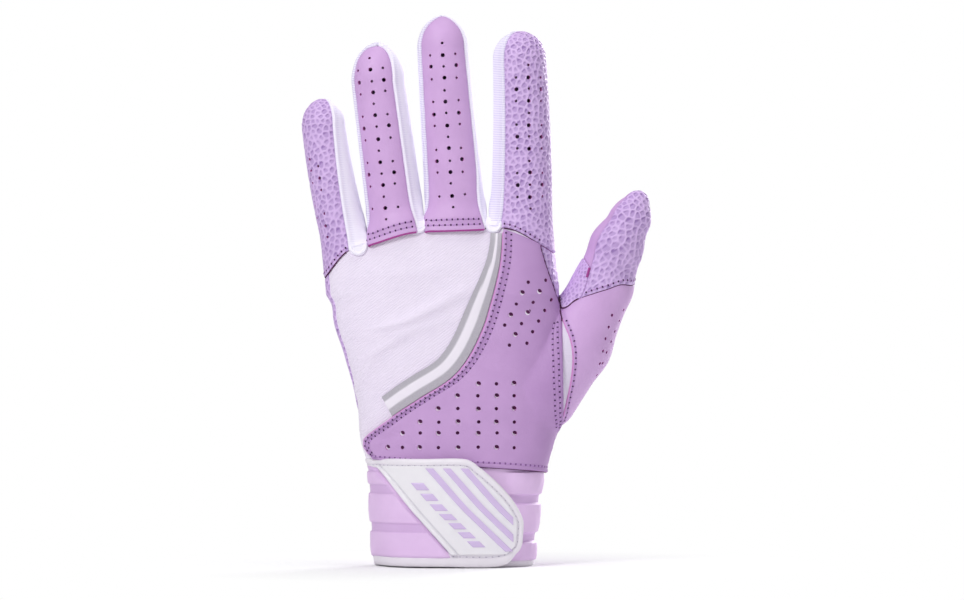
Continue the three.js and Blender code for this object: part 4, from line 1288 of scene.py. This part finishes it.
def make_finger_palm(finger, seams, seed):
    sides = always(seams["palm_right"]), always(360 + seams["palm_left"])
    cut = Cut(stall_strip(finger, *sides), 44, 16, 0.55)
    make_pebbled(finger + "_palm_leather", finger + "_palm", finger, cut, 2.2, seed, 0.1)


WEBS = ((-46.8, 125.0, 3.0, 12), (-23.2, 133.8, 2.9, 6), (6.8, 133.9, 2.6, 3))  # x, z, half width, lean
WEB_LEG = (3.6, 0.6)  # a lip's straight ends reach from here to here above its bow
WEB_REACH = 3.2  # of the patch in a web, above its bow
WEB_LEVELS = (("finger_web", -1.0, 0.3), ("finger_web_palm", 1.0, -0.5))  # name, way it faces, height
CAP_TILT = (79, 89.5)  # degrees up a rounded tip
CAP_SINK = 0.3


def make_tip_cap(body, around, material):
    """Gathered middle of a fingertip, where the seams run together."""
    def place(u, v):
        return around(360 * u, lerp(*CAP_TILT, v))

    cut = Cut(place, 6, 24, 0.4)
    relief = -0.5 * (1 - smoothstep(cut.v, 0, 0.5))
    dress(shell(body + "_tip_cap", cut, 0.5, -CAP_SINK, [material], relief), body)


def make_webs():
    """Rolled white lips round the foot of each gap between two fingers, and the patches inside them."""
    for k, (x, z, half, lean) in enumerate(WEBS, 1):
        turn = np.radians(np.linspace(180, 360, 25))
        across = np.r_[[-half] * 6, half * np.cos(turn), [half] * 6]
        leg = np.linspace(*WEB_LEG, 6)
        along = half + np.r_[leg, half * np.sin(turn), leg[::-1]]
        c, s = math.cos(math.radians(lean)), math.sin(math.radians(lean))
        origin = vector(x + across * c - along * s, 0, z + along * c + across * s)
        line, normals = skin(hand_form, origin, np.array((0.0, -1.0, 0.0)))
        ends = np.minimum(np.arange(len(line)), np.arange(len(line))[::-1])
        fade = smoothstep(ends, 0, 7)[:, None]
        path = line - normals * (1 - fade), normals
        lay_cord(f"finger_web_lip_{k}", "hand", "fourchette_fabric", path, 0.35 + 0.5 * fade[..., None], KNIT)

        for name, facing, level in WEB_LEVELS:
            def floor(u, v):
                rise = (half + WEB_REACH) * v
                wide = half * np.sqrt(1 - np.clip(1 - rise / half, 0, 0.98) ** 2)
                side = wide * (2 * u - 1)
                heart = vector(x + side * c - rise * s, 0, z + rise * c + side * s)
                return skin(hand_form, heart, np.array((0.0, facing, 0.0)))

            cut = Cut(floor, 10, 8, 0.5)
            patch = shell(f"{name}_{k}", cut, 0.6, level, [KNIT], -1.1 * smoothstep(cut.v, 0.45, 1), 0.15)
            dress(patch, "hand")


def make_fingers():
    for finger in FINGERS:
        wrapped = finger in ("pinky", "index")
        make_tip_cap(
            finger,
            lambda angle, tilt: on_stall(finger, angle, TIP_SHARE + (1 - TIP_SHARE) * tilt / TIP_POLE),
            PEBBLED if wrapped else KNIT)

    def pinky_back(rise):
        return lerp(PINKY_SEAMS["base"], PINKY_SEAMS["back"], np.minimum(rise / TIP_SHARE, 1))

    make_wrap("pinky_wrap", "pinky", always(PINKY_SEAMS["palm"]), lambda rise: 360 + pinky_back(rise),
              PINKY_HOLES, 21, (0.45, 0.98))
    make_fourchette("pinky_fourchette", "pinky", pinky_back, always(PINKY_SEAMS["palm"]), "l")
    for seed, (finger, seams) in enumerate((("ring", RING_SEAMS), ("middle", MIDDLE_SEAMS)), 31):
        make_back(finger, seams)
        make_fourchette(finger + "_fourchette_inner", finger, back_seam(seams, "back_right"),
                        always(seams["palm_right"]), "l")
        make_fourchette(finger + "_fourchette_outer", finger, always(seams["palm_left"]),
                        back_seam(seams, "back_left"), "r")
        make_finger_palm(finger, seams, seed)
    make_wrap("index_wrap", "index", always(INDEX_SEAMS["back"]), always(360 + INDEX_SEAMS["palm"]),
              finger_holes("index"), 41, (0.02, 0.27))
    make_fourchette("index_fourchette", "index", always(INDEX_SEAMS["palm"]),
                    always(INDEX_SEAMS["back"]), "r")


# Thumb

THUMB_HOLES = [((58.4 - 1.68 * k, 102.4 - 4.24 * k), SMALL_HOLE + 0.08) for k in range(6)]
THUMB_HOLES += [((53.6 - 1.2 * k, 100.4 - 4.8 * k), SMALL_HOLE + 0.08) for k in range(6)]
COLLAR = 6  # the thumb's seam allowance, turned in below the thumb
COLLAR_SPAN = (48.0, 172.0)  # degrees round the thumb
COLLAR_SINK = 0.7
COLLAR_WAY = (0.4, 0.5, 0.8)  # across the hand, in from its skin and down, for each millimetre


def gusset_width(angle):
    u = np.clip((angle - GUSSET["start"]) / (GUSSET["end"] - GUSSET["start"]), 0, 1)
    return np.where(angle < GUSSET["end"], GUSSET["edge"] + GUSSET["bulge"] * np.sin(np.pi * u), 0)


def make_thumb():
    crotch, foot, inner, outer = (THUMB_SEAMS[key] for key in ("crotch", "foot", "inner", "outer"))

    def inner_seam(rise):
        return lerp(foot, inner, smoothstep(rise, tip_seam(foot), THUMB_INNER_BEND))

    def strip(first, last, start, end):
        """Place between two seams, an angle for every rise, and two edges, a rise for every angle."""
        def place(u, v):
            def rise(across):
                angle = lerp(first(0.0), last(0.0), across)
                return lerp(start(angle), end(angle), v)
            return on_thumb(lerp(first(rise(0 * u)), last(rise(0 * u + 1)), u), rise(u))
        return place

    make_tip_cap("thumb", lambda angle, tilt: on_thumb(
        angle, THUMB_TIP_SHARE + (1 - THUMB_TIP_SHARE) * tilt / TIP_POLE), PEBBLED)

    def collar(u, v):
        points, normals = on_thumb(lerp(*COLLAR_SPAN, u), 0 * v)
        across, inward, down = (share * COLLAR * v for share in COLLAR_WAY)
        return points - COLLAR_SINK * normals - vector(across, inward * normals[..., 1], down), normals

    cut = Cut(collar, 6, 30, 0.6)
    dress(shell("thumb_seam_collar", cut, 0.5, 0, [PEBBLED], tone=0.3), "hand")

    cut = Cut(strip(always(GUSSET["start"]), always(outer), gusset_width, tip_seam), 30, 34, 0.45)
    close_slit(cut, cut.bottom, -0.3)
    sewn = np.exp(-((cut.bottom - 1.8) / 1.2) ** 2)
    relief = cut.rolled(1.0, 0.55) - 0.15 * sewn + seam_pucker(cut, "bt", 5, 0.12)
    # The tone is painted shade along the sewn groove and beside the edges.
    piece = shell("thumb_back_leather", cut, LEATHER, 0.25, [SMOOTH, RAW_EDGE], relief,
                  0.25 * sewn + 0.2 * np.exp(-cut.edge("lrt")), THUMB_HOLES)
    dress(piece, "thumb", "thumb_back")
    sew("thumb_gusset_stitches", "thumb", "smooth_leather", [cut.path("b", 2.0, 0.2, 0.9)])
    lay_cord("thumb_gusset_edge", "thumb", "smooth_leather", cut.path("b", 0.1, 0.12, 0.95), 0.35, PINK)

    cut = Cut(strip(inner_seam, always(outer), tip_seam, always(1)), 36, 26, 0.36)
    make_pebbled("thumb_tip_leather", "thumb_tip", "thumb", cut, 2.3, 51, 0.25, hem=(2.3, 3.4),
                 roll=(1.0, 0.55))
    grip = ("thumb", "pebbled_leather")
    sew("thumb_tip_stitches", *grip, [cut.path("b", 1.9, 0.04, 0.96)])
    # A dark cord of painted shadow along the seam.
    lay_cord("thumb_tip_seam_shadow", *grip, cut.path("b", 0, 0.01, 0.99), 0.28, SEAM_SHADOW, 0.05)

    cut = Cut(strip(always(crotch), inner_seam, tip_seam, always(THUMB_CROTCH_END)), 24, 20, 0.36)
    close_slit(cut, cut.bottom, -0.3)
    make_pebbled("thumb_crotch_leather", "thumb_crotch_strip", "thumb", cut, 1.7, 61, 0.35)
    # A dark cord of painted shadow along the seam.
    lay_cord("thumb_crotch_seam_shadow", *grip, cut.path("b", 0.05, 0.02, 0.98), 0.32, SEAM_SHADOW, 0.05)
    lay_cord("thumb_crotch_tack", *grip, cut.path("r", 0.4, 0.7, 0.99), 0.55, MAGENTA)

    cut = Cut(strip(always(crotch), inner_seam, always(THUMB_CROTCH_END), always(1)), 26, 12, 0.5)
    # The tone is painted shade beside the edges.
    piece = shell("thumb_inner_leather", cut, LEATHER, 0.1, [SMOOTH, RAW_EDGE], cut.rolled(0.9, 0.5),
                  0.25 * np.exp(-cut.edge() / 0.9))
    dress(piece, "thumb", "thumb_inner_strip")

    cut = Cut(strip(always(outer), always(360 + crotch), always(0), always(1)), 44, 24, 0.5)
    close_slit(cut, cut.bottom, -0.3)
    make_pebbled("thumb_palm_leather", "thumb_palm", "thumb", cut, 2.3, 71, 0.1)


# Cuff

HEM_HALF = 1.75  # half the height of the hem's round binding
HEM_FLOOR = 0.2  # it lies flat on the ground below this


def make_cuff():
    end = 360 + FLAP_ROOT
    top = CUFF_HEIGHT - SEAM_GAP / 4

    def ring(bottom, upper):
        return lambda u, v: on_cuff(lerp(CUFF_END, end, u), lerp(bottom, upper, v))

    cut = Cut(ring(HEM, top), 20, 60, 0.45)
    z = cut.points[..., 2]
    angle = lerp(CUFF_END, end, cut.u)
    shown = smoothstep(angle, *RIB_FADE)
    flat = smoothstep(angle, *SIDE_START)
    quilted = rib_rise(z, RIB_DROP * (1 - smoothstep(angle, DROP_START, end)))
    ribs = (SIDE_SWELL * flat + lerp(1, SIDE_RIBS, flat) * quilted) * shown
    puckers = 0.035 * np.sin(angle * 0.55 + 2.1 * np.sin(z * 0.31)) * ribs
    # Painted shade in the flat strips between the ribs.
    groove_shade = np.exp(-(quilted / 0.5) ** 2) * shown
    band = shell("cuff_band_padding", cut, PAD, PAD, [PADDED], ribs + puckers, 0.3 * groove_shade)
    dress(band, "hand", "cuff_band")

    cut = Cut(ring(HEM, top), 4, 60, 1.0)
    lining = shell("cuff_lining_knit", cut, LINING, -LAYER_GAP / 2, [LINED])
    dress(lining, "hand", "cuff_lining")

    turns = np.linspace(0, 2 * np.pi, 16, endpoint=False)
    middle, half = (PAD - LINING - LAYER_GAP) / 2, (PAD + LINING + LAYER_GAP) / 2 + HEM_PROUD
    outs = middle + half * np.sign(np.cos(turns)) * np.abs(np.cos(turns)) ** 0.55
    heights = HEM_HALF + HEM_HALF * np.sign(np.sin(turns)) * np.abs(np.sin(turns)) ** 0.7
    heights = np.maximum(HEM_FLOOR, heights)
    angles = np.linspace(CUFF_END, end, 150)
    grid, _ = on_cuff(angles[:, None], heights[None] + 0 * angles[:, None], outs[None] + 0 * angles[:, None])
    hem = swept("cuff_hem_tape", grid, [TAPE])
    dress(hem, "hand", "cuff_hem_binding")

    def patch(u, v):
        z = lerp(PATCH["bottom"], PATCH["top"], v)
        return on_cuff(wrist_angle(lerp(PATCH["left"], PATCH["right"], u), z, FLAP_LIFT), z)

    cut = Cut(patch, 6, 8, 0.8)
    loop = shell("loop_patch_pile", cut, LOOP, PAD + LAYER_GAP / 2 + LOOP, [HOOKS], cut.rolled(0.8, 0.4))
    dress(loop, "hand", "loop_patch")
    hook = shell("hook_patch_pile", cut, HOOK, FLAP_LIFT - LAYER_GAP / 2, [HOOKS])
    dress(hook, "flap", "hook_patch")


# Closure flap

DASHES = dict(count=7, start=-31, width=3.4, foot=7.4, head=5, step=3.6)  # heights below the tab's top
BINDING_SECTION = (  # in from the flap's outline, out from its inner face
    (3.7, PAD - 0.1), (3.55, PAD + 0.5), (3.0, PAD + 0.78), (2.55, PAD + 0.55), (2.1, PAD + 0.85),
    (1.3, PAD + 0.95), (0.55, PAD + 0.65), (0.1, PAD - 0.15), (0, PAD / 2), (0.15, 0.3), (0.6, -0.1),
    (1.6, -0.2), (2.7, -0.12), (2.8, 0.3), (2.8, PAD - 0.4))
SEWN_IN = 3  # place in the section of the groove that the stitches lie in


def flap_out(angle, z):
    """Distance of the flap's inner face from the cuff's, with its upper edge lapping the hand at its root."""
    return flap_lift(angle) + ROOT_LIFT * smoothstep(z, *ROOT_RISE) * (1 - smoothstep(angle, *ROOT_FADE))


def flap_level(x, z):
    """Angle round the wrist, and lift there, of a place on the flap's outer face."""
    angle = wrist_angle(x, z, FLAP_LIFT + PAD)
    for _ in range(8):
        angle = wrist_angle(x, z, flap_lift(angle) + PAD)
    return angle, flap_out(angle, z)


def flap_slope(z):
    return np.clip(flap_right(z + 0.5) - flap_right(z - 0.5), -2, 2)


def shell_right(z, inset):
    return flap_right(z) - inset * np.hypot(1, flap_slope(z))


def stretch_up(z):
    """Moves a height so that the lower binding is broad and the upper edge reaches its crest."""
    raised_by = lerp(-FLAP_SAG, FLAP_RAISE, smoothstep(z, FLAP_BOTTOM - 0.5, FLAP_BOTTOM + 3.7))
    return z + raised_by + FLAP_CREST * smoothstep(z, 20, FLAP_TOP)


def on_flap(x, z, level=PAD):
    """Place at a level over the flap's inner face, and the outward normal."""
    angle, out = flap_level(x, z)
    return on_cuff(angle, stretch_up(z), out + level)


def make_flap():
    inset = BINDING + SEAM_GAP
    tucked = inset - 1  # the padding's edge lies this far in from the outline, under the binding

    def height(v):
        return lerp(FLAP_BOTTOM + tucked, FLAP_TOP - tucked, v)

    def flap_shell(u, v):
        z = height(v)
        angle = lerp(FLAP_ROOT, flap_level(shell_right(z, tucked), z)[0], u)
        return on_cuff(angle, stretch_up(z), flap_out(angle, z))

    cut = Cut(flap_shell, 20, 40, 0.4)
    x, z = cut.points[..., 0], cut.points[..., 2]
    shown = smoothstep(tab_left(height(cut.v)) - x, -0.2, 0.8)
    ribs = (SIDE_SWELL * smoothstep(cut.edge("bt"), 0, 2) + SIDE_RIBS * rib_rise(z)) * shown
    puckers = 0.06 * np.sin(x * 0.8 + 1.5 * np.sin(z * 0.4)) * ribs
    # Painted shade in the flat strips between the ribs.
    groove = np.exp(-(rib_rise(z) / 0.5) ** 2) * shown
    piece = shell("flap_padding", cut, PAD, PAD, [PADDED], ribs + puckers, 0.3 * groove)
    dress(piece, "strap", "flap_shell")

    def corner(angle, z):
        return float(on_cuff(angle, z, flap_lift(angle) + PAD)[0][0]), z

    corners = [corner(angle, FLAP_BOTTOM) for angle in FLAP_EDGE]
    corners += [(float(flap_right(z)), z) for z in np.linspace(FLAP_BOTTOM, FLAP_TOP, 13)]
    corners += [corner(angle, FLAP_TOP) for angle in FLAP_EDGE[-2::-1]]
    outline, _ = curve(corners)
    place, way = outline(np.linspace(0, 1, 260))
    inward, level = np.array(BINDING_SECTION).T
    grid, normals = on_flap(place[:, :1] - way[:, 1:] * inward, place[:, 1:] + way[:, :1] * inward, level)
    shade = 0.45 * (np.arange(len(inward)) == SEWN_IN)
    binding = swept("flap_binding_tape", grid, [TAPE], np.tile(shade, len(place)))
    dress(binding, "strap", "flap_binding")
    row = grid[4:-4, SEWN_IN], normals[4:-4, SEWN_IN]
    sewing = stitches("flap_stitches", [row], WHITE_THREAD, WHITE_STITCH_HOLE_SHADE, 0.17, pitch=2.6, lift=0.02)
    dress(sewing, "strap")

    def tab(u, v):
        z = lerp(TAB_LEFT[0][0] - 0.6, TAB_LEFT[1][0] + 0.6, v)
        return on_flap(lerp(tab_left(z), shell_right(z, inset) - TAB_MARGIN, u), z)

    cut = Cut(tab, 24, 24, 0.45)
    welt = smoothstep(cut.left, 0, 0.7) * (1 - smoothstep(cut.left, 2.2, 2.9))
    groove = np.exp(-((cut.left - 3.2) / 0.35) ** 2)
    relief = -0.55 + 0.95 * welt - 0.3 * groove + 0.25 * np.exp(-cut.edge("rbt") / 0.8)
    relief = relief + cut.rolled(0.5, 0.3)
    # The tone is painted shade in the groove beside the welt.
    piece = shell("tab_moulding", cut, TAB, LAYER_GAP + TAB, [RUBBER], relief, 0.5 * groove)
    dress(piece, "flap", "tab_panel")

    def bar(start, low, high, width):
        """A raised bar that slants across the tab; start is its left side at the tab's top."""
        def place(u, v):
            left = start + width * np.hypot(1, BAR_LEAN) * u
            foot = np.maximum(low, TAB_LEFT[1][0] + (BAR_END - left) / BAR_LEAN)
            z = lerp(foot, high, v)
            return on_flap(left + BAR_LEAN * (z - TAB_LEFT[1][0]), z)
        return place

    low, high = TAB_LEFT[0][0] + 0.4, TAB_LEFT[1][0] - 0.2
    for k, start in enumerate(STRIPE["starts"], 1):
        cut = Cut(bar(start, low, high, STRIPE["width"]), 20, 4, 0.4)
        piece = shell(f"tab_bar_{k}", cut, 0.7, LAYER_GAP + TAB + 0.1, [LILAC], cut.rolled(0.5, 0.3))
        dress(piece, "flap", f"tab_stripe_{k}")
    for k in range(DASHES["count"]):
        foot, head = (high - DASHES[end] - DASHES["step"] * k for end in ("foot", "head"))
        cut = Cut(bar(DASHES["start"], foot, head, DASHES["width"]), 4, 5, 0.4)
        piece = shell(f"tab_dash_{k + 1}", cut, 0.6, LAYER_GAP + TAB - 0.05, [LILAC], cut.rolled(0.45, 0.25))
        dress(piece, "flap")


# Stage, lights and camera

PIXEL = 0.4  # millimetres of the glove to a pixel of the 964 by 600 image
IMAGE_WIDTH = 964
VIEW_CENTRE = (2.0, 106.4)  # the image's middle on the glove, across and up
CAMERA_AWAY = 2.2
SENSOR = 36
FLOOR_HALF = 8
FLOOR_COLOUR = (0.93, 0.93, 0.935, 1)
SKY_COLOUR, SKY_STRENGTH = (0.97, 0.97, 1, 1), 0.37
WHITE = (1, 1, 1, 1)
SHADOW_REACH = (0.03, 0.14)  # the floor's own shade fades to white between these distances from the middle
LIGHT_AIM = (0, 0, 0.1)
LIGHTS = (  # name, place, size, power
    ("key", (-0.6, -1.0, 1.05), 0.5, 10.2), ("fill", (0.9, -1.1, 0.3), 0.9, 0.8),
    ("top", (0.1, -0.1, 1.2), 0.6, 3.5), ("rim", (0.7, 1.1, 0.5), 0.6, 14))


def make_stage():
    floor = bpy.data.meshes.new("floor")
    corners = [(x * FLOOR_HALF, y * FLOOR_HALF, 0) for x, y in ((-1, -1), (1, -1), (1, 1), (-1, 1))]
    floor.from_pydata(corners, [], [(0, 1, 2, 3)])
    shader = Shader("floor_white", 0.9, specular=0.1)
    shader.colour(FLOOR_COLOUR)
    tree = shader.tree
    glow = shader.node("ShaderNodeEmission", Color=WHITE, Strength=1.0)
    away = shader.node("ShaderNodeVectorMath", Vector=shader.place)
    away.operation = "LENGTH"
    near, clear = SHADOW_REACH
    far = shader.node("ShaderNodeMapRange", Value=away.outputs["Value"], From_Min=near, From_Max=clear)
    paths = shader.node("ShaderNodeLightPath")
    seen = shader.node("ShaderNodeMath")
    seen.operation = "MULTIPLY"
    tree.links.new(paths.outputs["Is Camera Ray"], seen.inputs[0])
    tree.links.new(far.outputs["Result"], seen.inputs[1])
    mixed = shader.node("ShaderNodeMixShader", Fac=seen.outputs["Value"])
    tree.links.new(shader.bsdf.outputs["BSDF"], mixed.inputs[1])
    tree.links.new(glow.outputs["Emission"], mixed.inputs[2])
    tree.links.new(mixed.outputs["Shader"], tree.nodes["Material Output"].inputs["Surface"])
    floor.materials.append(shader.material)
    piece = bpy.data.objects.new("floor", floor)
    bpy.context.scene.collection.objects.link(piece)

    world = bpy.data.worlds.new("studio")
    bpy.context.scene.world = world
    world.use_nodes = True
    tree = world.node_tree
    light = tree.nodes["Background"]
    light.inputs["Color"].default_value = SKY_COLOUR
    light.inputs["Strength"].default_value = SKY_STRENGTH
    shown = tree.nodes.new("ShaderNodeBackground")
    shown.inputs["Color"].default_value = WHITE
    paths = tree.nodes.new("ShaderNodeLightPath")
    mixed = tree.nodes.new("ShaderNodeMixShader")
    tree.links.new(paths.outputs["Is Camera Ray"], mixed.inputs[0])
    tree.links.new(light.outputs["Background"], mixed.inputs[1])
    tree.links.new(shown.outputs["Background"], mixed.inputs[2])
    tree.links.new(mixed.outputs["Shader"], tree.nodes["World Output"].inputs["Surface"])


def make_light(name, place, size, energy):
    data = bpy.data.lights.new(name, "AREA")
    data.shape = "DISK"
    data.size = size
    data.energy = energy
    lamp = bpy.data.objects.new(name, data)
    lamp.location = place
    lamp.rotation_euler = (Vector(LIGHT_AIM) - Vector(place)).to_track_quat("-Z", "Y").to_euler()
    bpy.context.scene.collection.objects.link(lamp)


def make_camera():
    data = bpy.data.cameras.new("camera")
    data.sensor_width = SENSOR
    data.lens = SENSOR * CAMERA_AWAY / (IMAGE_WIDTH * PIXEL * MM)
    data.clip_start, data.clip_end = 0.05, 40
    camera = bpy.data.objects.new("camera", data)
    x, z = VIEW_CENTRE
    camera.location = Vector(framed((x, 0, z))) + Vector((0, -CAMERA_AWAY, 0))
    camera.rotation_euler = (math.radians(90), 0, 0)
    bpy.context.scene.collection.objects.link(camera)
    bpy.context.scene.camera = camera


bpy.context.scene.view_settings.view_transform = "Standard"
make_camera()
make_hand()
make_fingers()
make_webs()
make_thumb()
make_cuff()
make_flap()
make_stage()
for light in LIGHTS:
    make_light(*light)
